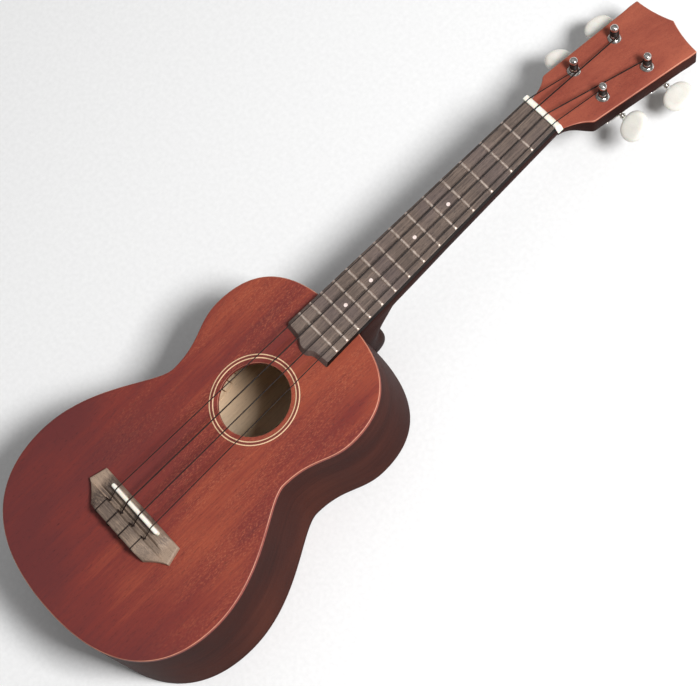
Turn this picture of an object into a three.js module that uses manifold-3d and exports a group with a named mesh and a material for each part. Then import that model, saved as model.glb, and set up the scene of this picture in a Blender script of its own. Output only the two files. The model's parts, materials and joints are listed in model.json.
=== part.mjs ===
// Soprano ukulele: a hollow wooden sound box, a neck with a head that leans back, four strings
// and four geared tuners. Millimetres, +Z out of the soundboard, +Y towards the head.
// The back lies on z = 0, and the tail and the tip of the head are equally far from y = 0.
import * as THREE from 'three';
import { mergeVertices } from 'three/addons/utils/BufferGeometryUtils.js';
import Module from 'manifold-3d';

const { PI, cos, sin } = Math;

// ---------------------------------------------------------------- driving dimensions
const SCALE_LENGTH = 346; // nut to saddle, before compensation
const NUT_Y = 162; // front face of the nut, where the fretboard starts
const BODY_DEPTH = 67; // back to soundboard
const PLATE_THICKNESS = 2.2; // soundboard and back
const SIDE_THICKNESS = 2;
const LINING = { width: 4.5, height: 8 };
const NECK_BLOCK = { halfWidth: 27, rearY: -34 };
const TAIL_BLOCK = { halfWidth: 26, frontY: -252 };
const BRACE = { width: 6, height: 9, endHeight: 3, taper: 16 };
const BRACES = [ // glued under the soundboard (side 1) or on the back (side -1)
  { name: 'top_brace_upper', halfLength: 58, y: -50, side: 1 },
  { name: 'top_brace_lower', halfLength: 46, y: -121, side: 1 },
  { name: 'back_brace_upper', halfLength: 58, y: -62, side: -1 },
  { name: 'back_brace_lower', halfLength: 80, y: -188, side: -1 },
];
const BRIDGE_PLATE = { halfWidth: 33, rearY: -210, frontY: -178, thickness: 2 };

// Half outline of the body: the tail, lower bout, waist, upper bout and neck joint.
const TAIL_Y = -268.5;
const LOWER_BOUT = { x: 90.6, y: -198 };
const WAIST = { x: 55.5, y: -110 };
const UPPER_BOUT = { x: 67.3, y: -61 };
const NECK_JOINT_Y = -11.4;

const SOUND_HOLE = { y: -87, radius: 24 };
const ROSETTE = { inner: 26.8, outer: 30.1, depth: 1.2 };
const INLAY_GAP = 0.3;

const FRETBOARD = { thickness: 4.6, nutWidth: 28.2, taper: 0.0258, endY: -41.3, bevel: 2.8 };
const FRET = { count: 14, width: 2, height: 1, tang: 0.5, tangDepth: 1.5, inset: 0.2 };
const NUT = { width: 30.6, thickness: 4.2, top: 1.9, bottom: -6.9 };
const NECK = { depthAtNut: 13.4, depthAtHeel: 15.8 };
const HEAD = { y: NUT_Y + 3, drop: 6.7, angle: 17 * PI / 180, thickness: 11.5 };

const BRIDGE = { frontY: -182.6, rearY: -204.8, frontHalf: 37, rearHalf: 26.5, thickness: 3 };
const WING_TIP = { x: 40.3, y: -194.6 };
const SADDLE_BLOCK = { rearY: -192.2, frontHalf: 31, rearHalf: 31, topHalf: 25.5, slope: 1.6, height: 5.2 };
const TIE_BLOCK = { frontY: -195, frontHalf: 38.5, rearHalf: 27, topHalf: 20, slope: 0.5, height: 8.4 };
const SADDLE = { y: -186.1, length: 45.8, thickness: 2.8, top: 9.6, slotFloor: 2.6 };
const STRING_HOLE = { radius: 0.95, height: 5 };
const STRINGS = [
  { name: 'string_1_g', radius: 0.35, saddleX: -17.8, nutX: -12.1 },
  { name: 'string_2_c', radius: 0.47, saddleX: -5.95, nutX: -4.05 },
  { name: 'string_3_e', radius: 0.41, saddleX: 5.95, nutX: 4.05 },
  { name: 'string_4_a', radius: 0.33, saddleX: 17.8, nutX: 12.1 },
];

// Tuner, in its own frame: +X outwards along the button's shaft, +Z out of the head's face.
const POST = { radius: 2.5, waist: 2.1, seat: 1.8, waistEnd: 8.5, top: 12.5 };
const BUSHING = { flange: 4.6, sleeve: 3.5, bore: 2.8, height: 1.9, depth: 6 };
const TUNER_PLATE = {
  top: -11.8, thickness: 1.2, inner: -6.5, outer: 10.8, near: -6.6, far: 10.6, hole: 2.9,
};
const EAR = { thickness: 1.2, near: 4.4, far: 9.8, drop: 3.2, outer: 6.6 };
const GEAR = { teeth: 14, module: 0.7, outer: 5.3, root: 4.05, top: -14.4, height: 4 };
const WORM = { pitchRadius: 2.2, outer: 2.6, core: 1.45, threadHalfLength: 4.4, innerEnd: -7.2 };
const SHAFT = { radius: 1.5, start: 5.4, end: 19.4, collar: 2.3, collarStart: 10.3, collarEnd: 11.7 };
const BUTTON = { x: 21.5, halfWidth: 8.4, halfLength: 10.4, thickness: 6.4, bevel: 1.9, neck: 2.9 };
const TUNERS = [ // turn: how far each button is turned about its shaft at rest, in degrees
  { name: 'g', side: -1, x: 13.3, y: 35.6, turn: -17 },
  { name: 'c', side: -1, x: 15, y: 71.4, turn: 3 },
  { name: 'e', side: 1, x: 15, y: 71.4, turn: 20 },
  { name: 'a', side: 1, x: 13.3, y: 35.6, turn: 42 },
];

const FRETBOARD_TOP = BODY_DEPTH + FRETBOARD.thickness;
const PITCH = PI * GEAR.module; // worm lead and gear pitch
const GEAR_PITCH_RADIUS = GEAR.teeth * GEAR.module / 2;
const WORM_OFFSET = GEAR_PITCH_RADIUS + WORM.pitchRadius;
const WORM_Z = GEAR.top - GEAR.height / 2;

// ---------------------------------------------------------------- materials
const material = (color, roughness, metalness = 0) =>
  new THREE.MeshStandardMaterial({ color, roughness, metalness });
const MAHOGANY = material(0x8f4436, 0.5);
const DARK_MAHOGANY = material(0x4a2620, 0.45);
const BARE_WOOD = material(0xb99a74, 0.8);
const ROSEWOOD = material(0x6f6158, 0.6);
const IVORY = material(0xf0ece0, 0.4);
const CREAM = material(0xe8cfa8, 0.5);
const NYLON = material(0x1c1614, 0.4);
const NICKEL = material(0xc9c2b6, 0.3, 1);
const CHROME = material(0xcfcac4, 0.15, 1);
const BRASS = material(0xb08d57, 0.35, 1);

// ---------------------------------------------------------------- solids
const wasm = await Module();
wasm.setup();

// A closed geometry as a manifold solid, turned so that its faces point out.
function solid(geometry) {
  const plain = geometry.clone();
  plain.deleteAttribute('normal');
  plain.deleteAttribute('uv');
  const merged = mergeVertices(plain, 1e-5);
  const vertProperties = merged.attributes.position.array;
  const corner = (i) => new THREE.Vector3().fromArray(vertProperties, 3 * i);
  const kept = [];
  let volume = 0;
  for (let i = 0; i < merged.index.count; i += 3) {
    const [a, b, c] = [0, 1, 2].map((k) => merged.index.getX(i + k));
    if (a === b || b === c || c === a) continue;
    kept.push([a, b, c]);
    volume += corner(a).dot(corner(b).cross(corner(c)));
  }
  const facingOut = kept.flatMap(([a, b, c]) => (volume > 0 ? [a, b, c] : [a, c, b]));
  const triVerts = Uint32Array.from(facingOut);
  return new wasm.Manifold(new wasm.Mesh({ numProp: 3, vertProperties, triVerts }));
}

function geometryOf(body) {
  const { vertProperties, triVerts } = body.getMesh();
  const geometry = new THREE.BufferGeometry();
  geometry.setAttribute('position', new THREE.BufferAttribute(vertProperties, 3));
  geometry.setIndex(new THREE.BufferAttribute(triVerts, 1));
  geometry.computeVertexNormals();
  return geometry;
}

const union = (...geometries) => geometries.map(solid).reduce((a, b) => a.add(b));
const cut = (body, ...tools) => geometryOf(tools.map(solid).reduce((a, b) => a.subtract(b), body));

const model = new THREE.Group();
function addPart(name, geometry, look, parent = model) {
  const mesh = new THREE.Mesh(geometryOf(solid(geometry)), look);
  mesh.name = name;
  parent.add(mesh);
}

const point2 = (x, y) => new THREE.Vector2(x, y);
const point3 = (x, y, z) => new THREE.Vector3(x, y, z);

function box(x0, x1, y0, y1, z0, z1) {
  const geometry = new THREE.BoxGeometry(x1 - x0, y1 - y0, z1 - z0);
  return geometry.translate((x0 + x1) / 2, (y0 + y1) / 2, (z0 + z1) / 2);
}

// A plan outline given a thickness along Z.
function slab(shape, z0, z1, curveSegments = 6) {
  const options = { depth: z1 - z0, bevelEnabled: false, curveSegments };
  return new THREE.ExtrudeGeometry(shape, options).translate(0, 0, z0);
}

// An outline in Y and Z, given a width along X.
function barAlongX(outline, x0, x1) {
  const shape = new THREE.Shape(outline.map(([y, z]) => point2(y, z)));
  const turn = new THREE.Matrix4().makeBasis(point3(0, 1, 0), point3(0, 0, 1), point3(1, 0, 0));
  return slab(shape, x0, x1).applyMatrix4(turn);
}

function turnedAboutZ(profile, segments = 20) {
  const points = profile.map(([radius, z]) => point2(radius, z));
  return new THREE.LatheGeometry(points, segments).rotateX(PI / 2);
}

function rodAlongX(radius, x0, x1, y, z, segments = 12) {
  const rod = new THREE.CylinderGeometry(radius, radius, x1 - x0, segments).rotateZ(PI / 2);
  return rod.translate((x0 + x1) / 2, y, z);
}

// A skin through rings of equal point counts, closed by a flat fan at each end.
function loft(rings) {
  const count = rings[0].length;
  const index = [];
  for (let r = 0; r + 1 < rings.length; r++) {
    for (let i = 0; i < count; i++) {
      const [a, b] = [r * count + i, r * count + ((i + 1) % count)];
      index.push(a, b, a + count, b, b + count, a + count);
    }
  }
  const last = (rings.length - 1) * count;
  for (let i = 1; i + 1 < count; i++) {
    index.push(0, i + 1, i, last, last + i, last + i + 1);
  }
  const geometry = new THREE.BufferGeometry().setFromPoints(rings.flat());
  geometry.setIndex(index);
  return geometry;
}

// A round cord along a list of points, with a ring square to the route at each one.
function cord(route, radius, sides = 8) {
  const rings = route.map((centre, i) => {
    const before = route[Math.max(i - 1, 0)];
    const after = route[Math.min(i + 1, route.length - 1)];
    const along = after.clone().sub(before).normalize();
    const across = point3(1, 0, 0).addScaledVector(along, -along.x).normalize();
    const up = along.clone().cross(across);
    return Array.from({ length: sides }, (_, k) => {
      const angle = 2 * PI * k / sides;
      const out = across.clone().multiplyScalar(radius * cos(angle));
      return out.addScaledVector(up, radius * sin(angle)).add(centre);
    });
  });
  return loft(rings);
}

// ---------------------------------------------------------------- body
// The right half of the body's outline, from the tail to the neck joint, as four Bezier curves.
function halfOutline(pointsPerCurve) {
  const curve = (...corners) => new THREE.CubicBezierCurve(...corners.map((c) => point2(...c)));
  const { x: lowX, y: lowY } = LOWER_BOUT;
  const { x: waistX, y: waistY } = WAIST;
  const { x: upX, y: upY } = UPPER_BOUT;
  const curves = [
    curve([0, TAIL_Y], [66, TAIL_Y], [lowX, lowY - 40], [lowX, lowY]),
    curve([lowX, lowY], [lowX, lowY + 43], [waistX, waistY - 14.5], [waistX, waistY]),
    curve([waistX, waistY], [waistX, waistY + 24.5], [upX, upY - 19], [upX, upY]),
    curve([upX, upY], [upX, upY + 33.5], [45.8, NECK_JOINT_Y], [0, NECK_JOINT_Y]),
  ];
  const points = curves.flatMap((c) => c.getPoints(pointsPerCurve).slice(0, -1));
  points.push(point2(0, NECK_JOINT_Y));
  return points;
}

// The whole outline, moved inwards by inset.
function bodyOutline(inset = 0, pointsPerCurve = 10) {
  const right = halfOutline(pointsPerCurve);
  const moved = right.map((point, i) => {
    const before = right[i - 1] ?? point2(-right[1].x, right[1].y);
    const after = right[i + 1] ?? point2(-right[i - 1].x, right[i - 1].y);
    const along = after.clone().sub(before).normalize();
    return point2(point.x - inset * along.y, point.y + inset * along.x);
  });
  moved[0].x = 0;
  moved[moved.length - 1].x = 0;
  const left = moved.slice(1, -1).reverse().map((p) => point2(-p.x, p.y));
  return [...moved, ...left];
}

function ringBetween(outerInset, innerInset, z0, z1) {
  const shape = new THREE.Shape(bodyOutline(outerInset));
  shape.holes.push(new THREE.Path(bodyOutline(innerInset)));
  return slab(shape, z0, z1);
}

function annulus(inner, outer, z0, z1) {
  const shape = new THREE.Shape().absarc(0, SOUND_HOLE.y, outer, 0, 2 * PI);
  if (inner > 0) shape.holes.push(new THREE.Path().absarc(0, SOUND_HOLE.y, inner, 0, 2 * PI));
  return slab(shape, z0, z1, 24);
}

function makeSoundBox() {
  const top = BODY_DEPTH - PLATE_THICKNESS;
  const liningInset = SIDE_THICKNESS + LINING.width;
  const plate = new THREE.Shape(bodyOutline());
  const floor = BODY_DEPTH - ROSETTE.depth;
  const { inner, outer } = ROSETTE;
  const soundboard = cut(
    solid(slab(plate, top, BODY_DEPTH)),
    annulus(0, SOUND_HOLE.radius, top - 1, BODY_DEPTH + 1),
    annulus(inner - INLAY_GAP, outer + INLAY_GAP, floor, BODY_DEPTH + 1),
  );
  addPart('soundboard', soundboard, MAHOGANY);
  addPart('rosette', annulus(inner, outer, floor, BODY_DEPTH), CREAM);
  addPart('back_plate', slab(plate, 0, PLATE_THICKNESS), DARK_MAHOGANY);
  addPart('sides', ringBetween(0, SIDE_THICKNESS, PLATE_THICKNESS, top), DARK_MAHOGANY);
  const lining = (z0, z1) => ringBetween(SIDE_THICKNESS, liningInset, z0, z1);
  addPart('top_lining', lining(top - LINING.height, top), BARE_WOOD);
  addPart('back_lining', lining(PLATE_THICKNESS, PLATE_THICKNESS + LINING.height), BARE_WOOD);
}

// An end block that fills the body's end between the plates, notched over both linings.
function endBlock(keep) {
  const top = BODY_DEPTH - PLATE_THICKNESS;
  const core = (inset, z0, z1) => solid(slab(new THREE.Shape(bodyOutline(inset)), z0, z1));
  const lined = core(SIDE_THICKNESS + LINING.width, PLATE_THICKNESS, top);
  const middle = core(SIDE_THICKNESS, PLATE_THICKNESS + LINING.height, top - LINING.height);
  return geometryOf(lined.add(middle).intersect(solid(keep)));
}

// A bar across the body that gets thinner towards its ends.
function brace({ halfLength, y, side }) {
  const glued = side > 0 ? BODY_DEPTH - PLATE_THICKNESS : PLATE_THICKNESS;
  const deep = glued - side * BRACE.height;
  const shallow = glued - side * BRACE.endHeight;
  const full = halfLength - BRACE.taper;
  const outline = [[-halfLength, glued], [halfLength, glued], [halfLength, shallow]];
  outline.push([full, deep], [-full, deep], [-halfLength, shallow]);
  const shape = new THREE.Shape(outline.map(([x, z]) => point2(x, z)));
  return slab(shape, -BRACE.width / 2, BRACE.width / 2).rotateX(PI / 2).translate(0, y, 0);
}

function makeInnerParts() {
  const underTop = BODY_DEPTH - PLATE_THICKNESS;
  const region = (halfWidth, y0, y1) => box(-halfWidth, halfWidth, y0, y1, 0, BODY_DEPTH);
  const neckEnd = region(NECK_BLOCK.halfWidth, NECK_BLOCK.rearY, NECK_JOINT_Y);
  const tailEnd = region(TAIL_BLOCK.halfWidth, TAIL_Y, TAIL_BLOCK.frontY);
  addPart('neck_block', endBlock(neckEnd), BARE_WOOD);
  addPart('tail_block', endBlock(tailEnd), BARE_WOOD);
  for (const bar of BRACES) addPart(bar.name, brace(bar), BARE_WOOD);
  const { halfWidth, rearY, frontY, thickness } = BRIDGE_PLATE;
  const plate = box(-halfWidth, halfWidth, rearY, frontY, underTop - thickness, underTop);
  addPart('bridge_plate', plate, BARE_WOOD);
}

// ---------------------------------------------------------------- neck and head
const fretboardHalfWidth = (y) => FRETBOARD.nutWidth / 2 + FRETBOARD.taper * (NUT_Y - y);

// Half a superellipse below a flat edge, from the right end to the left one.
function neckSection(halfWidth, depth, fullness, steps = 12) {
  return Array.from({ length: steps + 1 }, (_, i) => {
    const angle = PI * i / steps;
    const c = cos(angle);
    const x = i === steps ? -halfWidth : halfWidth * Math.sign(c) * Math.abs(c) ** (2 / fullness);
    return [x, depth * Math.abs(sin(angle)) ** (2 / fullness)];
  });
}

function neckShaft() {
  const top = BODY_DEPTH;
  const endY = NUT_Y + NUT.thickness;
  const rings = [NECK_JOINT_Y, 40, 100, NUT_Y, endY].map((y) => {
    const toHeel = (NUT_Y - y) / (NUT_Y - NECK_JOINT_Y);
    const depth = NECK.depthAtNut + (NECK.depthAtHeel - NECK.depthAtNut) * toHeel;
    const section = neckSection(fretboardHalfWidth(y), depth, 2.5);
    return section.map(([x, z]) => point3(x, y, top - z));
  });
  return loft(rings);
}

// The heel: a foot with soft corners that curves in, then out into the neck.
function heel() {
  const levels = [
    { z: 53, halfWidth: 17.6, reach: 36, fullness: 2 },
    { z: 47.5, halfWidth: 17.6, reach: 26, fullness: 2.1 },
    { z: 41, halfWidth: 16.6, reach: 15, fullness: 2.4 },
    { z: 35, halfWidth: 15, reach: 10.4, fullness: 2.8 },
    { z: 29, halfWidth: 13.6, reach: 10, fullness: 3 },
    { z: 22, halfWidth: 12, reach: 11.6, fullness: 3 },
    { z: 12, halfWidth: 9.6, reach: 11.8, fullness: 3 },
    { z: 6, halfWidth: 7.4, reach: 10.4, fullness: 3 },
    { z: 3, halfWidth: 4.6, reach: 7, fullness: 2.6 },
  ];
  const rings = levels.map(({ z, halfWidth, reach, fullness }) => {
    const section = neckSection(halfWidth, reach, fullness);
    return section.map(([x, y]) => point3(x, NECK_JOINT_Y + y, z));
  });
  return loft(rings);
}

// Plan of the head in its own plane: y runs from the nut to the crown.
function headShape() {
  const shape = new THREE.Shape().moveTo(-5, -6).lineTo(5, -6).lineTo(14.8, 1.4);
  shape.quadraticCurveTo(17.6, 12.5, 23, 18).quadraticCurveTo(23.9, 19, 24, 20.6);
  shape.lineTo(27.6, 102.3).quadraticCurveTo(13.2, 102.8, 0, 108.3);
  shape.quadraticCurveTo(-13.2, 102.8, -27.6, 102.3).lineTo(-24, 20.6);
  shape.quadraticCurveTo(-23.9, 19, -23, 18).quadraticCurveTo(-17.6, 12.5, -14.8, 1.4);
  return shape;
}

const head = new THREE.Group();
head.position.set(0, HEAD.y, FRETBOARD_TOP - HEAD.drop);
head.rotation.x = -HEAD.angle;
head.updateMatrix();
model.add(head);

function makeNeck() {
  const place = (geometry) => geometry.applyMatrix4(head.matrix);
  const board = place(slab(headShape(), -HEAD.thickness, 0, 5));
  const holeRadius = BUSHING.sleeve + INLAY_GAP;
  const holes = TUNERS.map(({ side, x, y }) => {
    const hole = new THREE.CylinderGeometry(holeRadius, holeRadius, 2 * HEAD.thickness, 16);
    return place(hole.rotateX(PI / 2).translate(side * x, y, -HEAD.thickness / 2));
  });
  const seatFloor = FRETBOARD_TOP + NUT.bottom;
  const nutSeat = box(-20, 20, NUT_Y, NUT_Y + NUT.thickness + 1, seatFloor, FRETBOARD_TOP);
  addPart('neck', cut(union(neckShaft(), heel(), board), nutSeat, ...holes), MAHOGANY);
}

// ---------------------------------------------------------------- fretboard, frets and nut
// Plan of the fretboard: its end over the body has straight shoulders and an ogee in the middle.
function fretboardShape() {
  const endHalf = fretboardHalfWidth(FRETBOARD.endY);
  const y = FRETBOARD.endY;
  const shape = new THREE.Shape().moveTo(FRETBOARD.nutWidth / 2, NUT_Y);
  shape.lineTo(-FRETBOARD.nutWidth / 2, NUT_Y).lineTo(-endHalf, y).lineTo(-9.3, y - 0.8);
  shape.quadraticCurveTo(-6.6, y - 1.2, -4.6, y - 3.2).quadraticCurveTo(-2.6, y - 4.6, 0, y - 4.6);
  shape.quadraticCurveTo(2.6, y - 4.6, 4.6, y - 3.2).quadraticCurveTo(6.6, y - 1.2, 9.3, y - 0.8);
  return shape.lineTo(endHalf, y);
}

const fretY = (n) => NUT_Y - SCALE_LENGTH * (1 - 2 ** (-n / 12));

// Section of the fret wire: a round crown on a tang.
function fretOutline() {
  const [half, tang] = [FRET.width / 2, FRET.tang / 2];
  const outline = [[-tang, 0], [-tang, -FRET.tangDepth], [tang, -FRET.tangDepth], [tang, 0]];
  for (let step = 0; step <= 6; step++) {
    const angle = PI * step / 6;
    outline.push([half * cos(angle), FRET.height * sin(angle)]);
  }
  return outline;
}

function makeFretboard() {
  const board = slab(fretboardShape(), BODY_DEPTH, FRETBOARD_TOP, 3);
  const position = board.attributes.position;
  for (let i = 0; i < position.count; i++) {
    const onTopOfEnd = position.getZ(i) > FRETBOARD_TOP - 0.1 && position.getY(i) < FRETBOARD.endY + 1;
    if (onTopOfEnd) position.setY(i, position.getY(i) + FRETBOARD.bevel);
  }
  const slots = [];
  for (let n = 1; n <= FRET.count; n++) {
    const y = fretY(n);
    const slotHalf = FRET.tang / 2 + 0.05;
    const slotFloor = FRETBOARD_TOP - FRET.tangDepth - 0.2;
    slots.push(box(-25, 25, y - slotHalf, y + slotHalf, slotFloor, FRETBOARD_TOP + 1));
    const half = fretboardHalfWidth(y) - FRET.inset;
    const outline = fretOutline().map(([dy, dz]) => [y + dy, FRETBOARD_TOP + dz]);
    addPart(`fret_${String(n).padStart(2, '0')}`, barAlongX(outline, -half, half), NICKEL);
  }
  addPart('fretboard', cut(solid(board), ...slots), ROSEWOOD);
}

function makeNut() {
  const [front, rear] = [NUT_Y, NUT_Y + NUT.thickness];
  const [bottom, top] = [FRETBOARD_TOP + NUT.bottom, FRETBOARD_TOP + NUT.top];
  const outline = [[front, bottom], [rear, bottom], [rear, top - 1.6], [rear - 1, top - 0.5]];
  outline.push([rear - 2.4, top], [front + 0.6, top], [front, top - 0.5]);
  const slots = STRINGS.map(({ nutX, radius }) => {
    const width = radius + 0.15;
    return box(nutX - width, nutX + width, front - 1, rear + 1, top - 0.6, top + 1);
  });
  addPart('nut', cut(solid(barAlongX(outline, -NUT.width / 2, NUT.width / 2)), ...slots), IVORY);
}

// ---------------------------------------------------------------- bridge and saddle
function bridgeShape() {
  const { frontY, rearY, frontHalf, rearHalf } = BRIDGE;
  const bend = { x: (rearHalf + WING_TIP.x) / 2, y: WING_TIP.y - 3 };
  const shape = new THREE.Shape().moveTo(-rearHalf, rearY).lineTo(rearHalf, rearY);
  shape.quadraticCurveTo(bend.x, bend.y, WING_TIP.x, WING_TIP.y).lineTo(frontHalf, frontY);
  shape.lineTo(-frontHalf, frontY).lineTo(-WING_TIP.x, WING_TIP.y);
  shape.quadraticCurveTo(-bend.x, bend.y, -rearHalf, rearY);
  return shape;
}

// A block whose rectangular top is smaller than its base, the same on both sides of x = 0.
function hippedBlock({ frontY, rearY, frontHalf, rearHalf, topHalf, slope }, z0, z1) {
  const ring = (front, rear, y0, y1, z) =>
    [point3(-rear, y1, z), point3(rear, y1, z), point3(front, y0, z), point3(-front, y0, z)];
  const base = ring(frontHalf, rearHalf, frontY, rearY, z0);
  const top = ring(topHalf, topHalf, frontY - slope, rearY + slope, z1);
  const block = loft([base, top]);
  return solid(block).add(solid(block.clone().scale(-1, 1, 1)));
}

function stadium(length, width, y) {
  const [half, radius] = [(length - width) / 2, width / 2];
  const shape = new THREE.Shape().absarc(half, y, radius, -PI / 2, PI / 2);
  return shape.absarc(-half, y, radius, PI / 2, 3 * PI / 2);
}

function makeBridge() {
  const deck = BODY_DEPTH;
  const { frontY, rearY, thickness } = BRIDGE;
  const saddleBlock = hippedBlock({ ...SADDLE_BLOCK, frontY }, deck + 1, deck + SADDLE_BLOCK.height);
  const tieBlock = hippedBlock({ ...TIE_BLOCK, rearY }, deck + 1, deck + TIE_BLOCK.height);
  const plan = solid(slab(bridgeShape(), deck, deck + TIE_BLOCK.height + 1));
  const blocks = saddleBlock.add(tieBlock).intersect(plan);
  const body = solid(slab(bridgeShape(), deck, deck + thickness)).add(blocks);
  const holes = STRINGS.map(({ saddleX }) => {
    const hole = new THREE.CylinderGeometry(STRING_HOLE.radius, STRING_HOLE.radius, 20, 8);
    return hole.translate(saddleX, (TIE_BLOCK.frontY + rearY) / 2, deck + STRING_HOLE.height);
  });
  const slot = saddleBar(INLAY_GAP, deck + 20);
  addPart('bridge', cut(body, slot, ...holes), ROSEWOOD);
}

// The saddle's long bar with round ends, made larger by grow on every side.
function saddleBar(grow, top) {
  const shape = stadium(SADDLE.length + 2 * grow, SADDLE.thickness + 2 * grow, SADDLE.y);
  return slab(shape, BODY_DEPTH + SADDLE.slotFloor, top, 4);
}

function makeSaddle() {
  const edge = 0.7; // height and width of the worn edge
  const top = BODY_DEPTH + SADDLE.top;
  const saddle = union(saddleBar(0, top - edge), saddleBar(-edge, top));
  addPart('saddle', geometryOf(saddle), IVORY);
}

// ---------------------------------------------------------------- strings
// Each string runs from the tie block over the saddle and the nut to the inner side of its post.
function makeStrings() {
  const saddleTop = BODY_DEPTH + SADDLE.top;
  const nutSlot = FRETBOARD_TOP + NUT.top - 0.6;
  const holeZ = BODY_DEPTH + STRING_HOLE.height;
  STRINGS.forEach(({ name, radius, saddleX, nutX }, i) => {
    const { side, x, y } = TUNERS[i];
    const clear = radius + 0.05;
    const postSide = side * (x - POST.waist - radius - 0.35);
    const post = point3(postSide, y, 5.2).applyMatrix4(head.matrix);
    const route = [
      point3(saddleX, BRIDGE.rearY + 0.4, holeZ),
      point3(saddleX, TIE_BLOCK.frontY + 0.2, holeZ),
      point3(saddleX, SADDLE.y - 1.9, saddleTop + clear - 0.75),
      point3(saddleX, SADDLE.y - 0.5, saddleTop + clear),
      point3(saddleX, SADDLE.y + 1, saddleTop + clear),
      point3(nutX, NUT_Y - 0.5, nutSlot + clear),
      point3(nutX, NUT_Y + 2.2, nutSlot + clear),
      point3(nutX, NUT_Y + 4.6, nutSlot + clear - 0.35),
      post,
    ];
    addPart(name, cord(route, radius), NYLON);
  });
}

// ---------------------------------------------------------------- tuners
function gearShape() {
  const shape = new THREE.Shape();
  const pitchAngle = 2 * PI / GEAR.teeth;
  for (let tooth = 0; tooth < GEAR.teeth; tooth++) {
    const centre = PI / 2 + (tooth + 0.5) * pitchAngle;
    const corners = [[GEAR.root, -0.15], [GEAR.outer, -0.068], [GEAR.outer, 0.068], [GEAR.root, 0.15]];
    for (const [radius, angle] of corners) {
      const [x, y] = [radius * cos(centre + angle), radius * sin(centre + angle)];
      if (shape.curves.length || shape.currentPoint.length()) shape.lineTo(x, y);
      else shape.moveTo(x, y);
    }
  }
  shape.holes.push(new THREE.Path().absarc(0, 0, POST.seat + 0.1, 0, 2 * PI));
  return shape;
}

// The teeth lean by the worm's lead angle, so that they lie along its thread.
function gear() {
  const z0 = GEAR.top - GEAR.height;
  const options = { depth: GEAR.height, bevelEnabled: false, steps: 2, curveSegments: 8 };
  const geometry = new THREE.ExtrudeGeometry(gearShape(), options).translate(0, 0, z0);
  const lead = PITCH / (2 * PI * WORM.pitchRadius) / GEAR_PITCH_RADIUS;
  const position = geometry.attributes.position;
  for (let i = 0; i < position.count; i++) {
    const turn = lead * (position.getZ(i) - WORM_Z);
    const [x, y] = [position.getX(i), position.getY(i)];
    position.setXY(i, x * cos(turn) - y * sin(turn), x * sin(turn) + y * cos(turn));
  }
  return geometry;
}

// The thread stands in the gap between two teeth, on the side of the worm that faces the gear.
function wormShaft(side) {
  const y = side * WORM_OFFSET;
  const towardsGear = side > 0 ? PI : 0;
  const stepsPerTurn = 10;
  const turns = WORM.threadHalfLength / PITCH;
  const steps = Math.round(turns * stepsPerTurn);
  const section = [[-0.5, 1.1], [-0.28, WORM.outer], [0.28, WORM.outer], [0.5, 1.1]];
  const rings = [];
  for (let i = -steps; i <= steps; i++) {
    const angle = 2 * PI * i / stepsPerTurn;
    const [c, s] = [cos(angle + towardsGear), sin(angle + towardsGear)];
    const shift = PITCH * i / stepsPerTurn;
    rings.push(section.map(([x, r]) => point3(shift + x, y + r * c, WORM_Z + r * s)));
  }
  const core = rodAlongX(WORM.core, WORM.innerEnd, SHAFT.start + 1, y, WORM_Z, 8);
  const shaft = rodAlongX(SHAFT.radius, SHAFT.start, SHAFT.end, y, WORM_Z);
  const collar = rodAlongX(SHAFT.collar, SHAFT.collarStart, SHAFT.collarEnd, y, WORM_Z);
  return geometryOf(union(core, loft(rings), shaft, collar));
}

// The plate lies on the head's back. Its two ears carry the worm.
function tunerPlate(side) {
  const { top, thickness, inner, outer, near, far, hole } = TUNER_PLATE;
  const across = (y0, y1) => (side > 0 ? [y0, y1] : [-y1, -y0]);
  const sheet = box(inner, outer, ...across(near, far), top - thickness, top);
  const earSpan = across(EAR.near, EAR.far);
  const ear = (x) => box(x, x + EAR.thickness, ...earSpan, WORM_Z - EAR.drop, top - thickness / 2);
  const postHole = new THREE.CylinderGeometry(hole, hole, 8, 16).rotateX(PI / 2).translate(0, 0, top);
  const shaftHole = rodAlongX(SHAFT.radius + INLAY_GAP, inner - 1, outer, side * WORM_OFFSET, WORM_Z);
  return cut(union(sheet, ear(inner), ear(EAR.outer)), postHole, shaftHole);
}

function button(side, turn) {
  const y = side * WORM_OFFSET;
  const { x, halfWidth, halfLength, thickness, bevel } = BUTTON;
  const shape = new THREE.Shape().absellipse(0, 0, halfWidth - bevel, halfLength - bevel, 0, 2 * PI);
  const depth = thickness - 2 * bevel;
  const options = { depth, bevelSize: bevel, bevelThickness: bevel, bevelSegments: 2, curveSegments: 10 };
  const body = new THREE.ExtrudeGeometry(shape, options).translate(0, 0, -depth / 2);
  body.rotateX(side * turn * PI / 180).translate(x, y, WORM_Z);
  const neck = rodAlongX(BUTTON.neck, x - halfWidth - 1, x - 3, y, WORM_Z, 14);
  const socket = rodAlongX(SHAFT.radius + INLAY_GAP, x - halfWidth - 2, SHAFT.end + 0.4, y, WORM_Z);
  return cut(union(body, neck), socket);
}

function post() {
  const bottom = GEAR.top - GEAR.height - 0.6;
  const { radius, waist, seat, waistEnd, top } = POST;
  return turnedAboutZ([
    [0, bottom], [seat, bottom], [seat, GEAR.top + 0.1], [radius, GEAR.top + 0.1], [radius, 3],
    [waist, 3.6], [waist, waistEnd], [radius + 0.2, waistEnd + 0.8], [radius + 0.2, top - 1.6],
    [radius - 0.5, top - 0.4], [0, top],
  ], 16);
}

function bushing() {
  const { flange, sleeve, bore, height, depth } = BUSHING;
  return turnedAboutZ([
    [bore, -depth], [sleeve, -depth], [sleeve, INLAY_GAP], [flange, INLAY_GAP], [flange, 0.8],
    [flange - 1, height - 0.2], [bore, height], [bore, -depth],
  ]);
}

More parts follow.
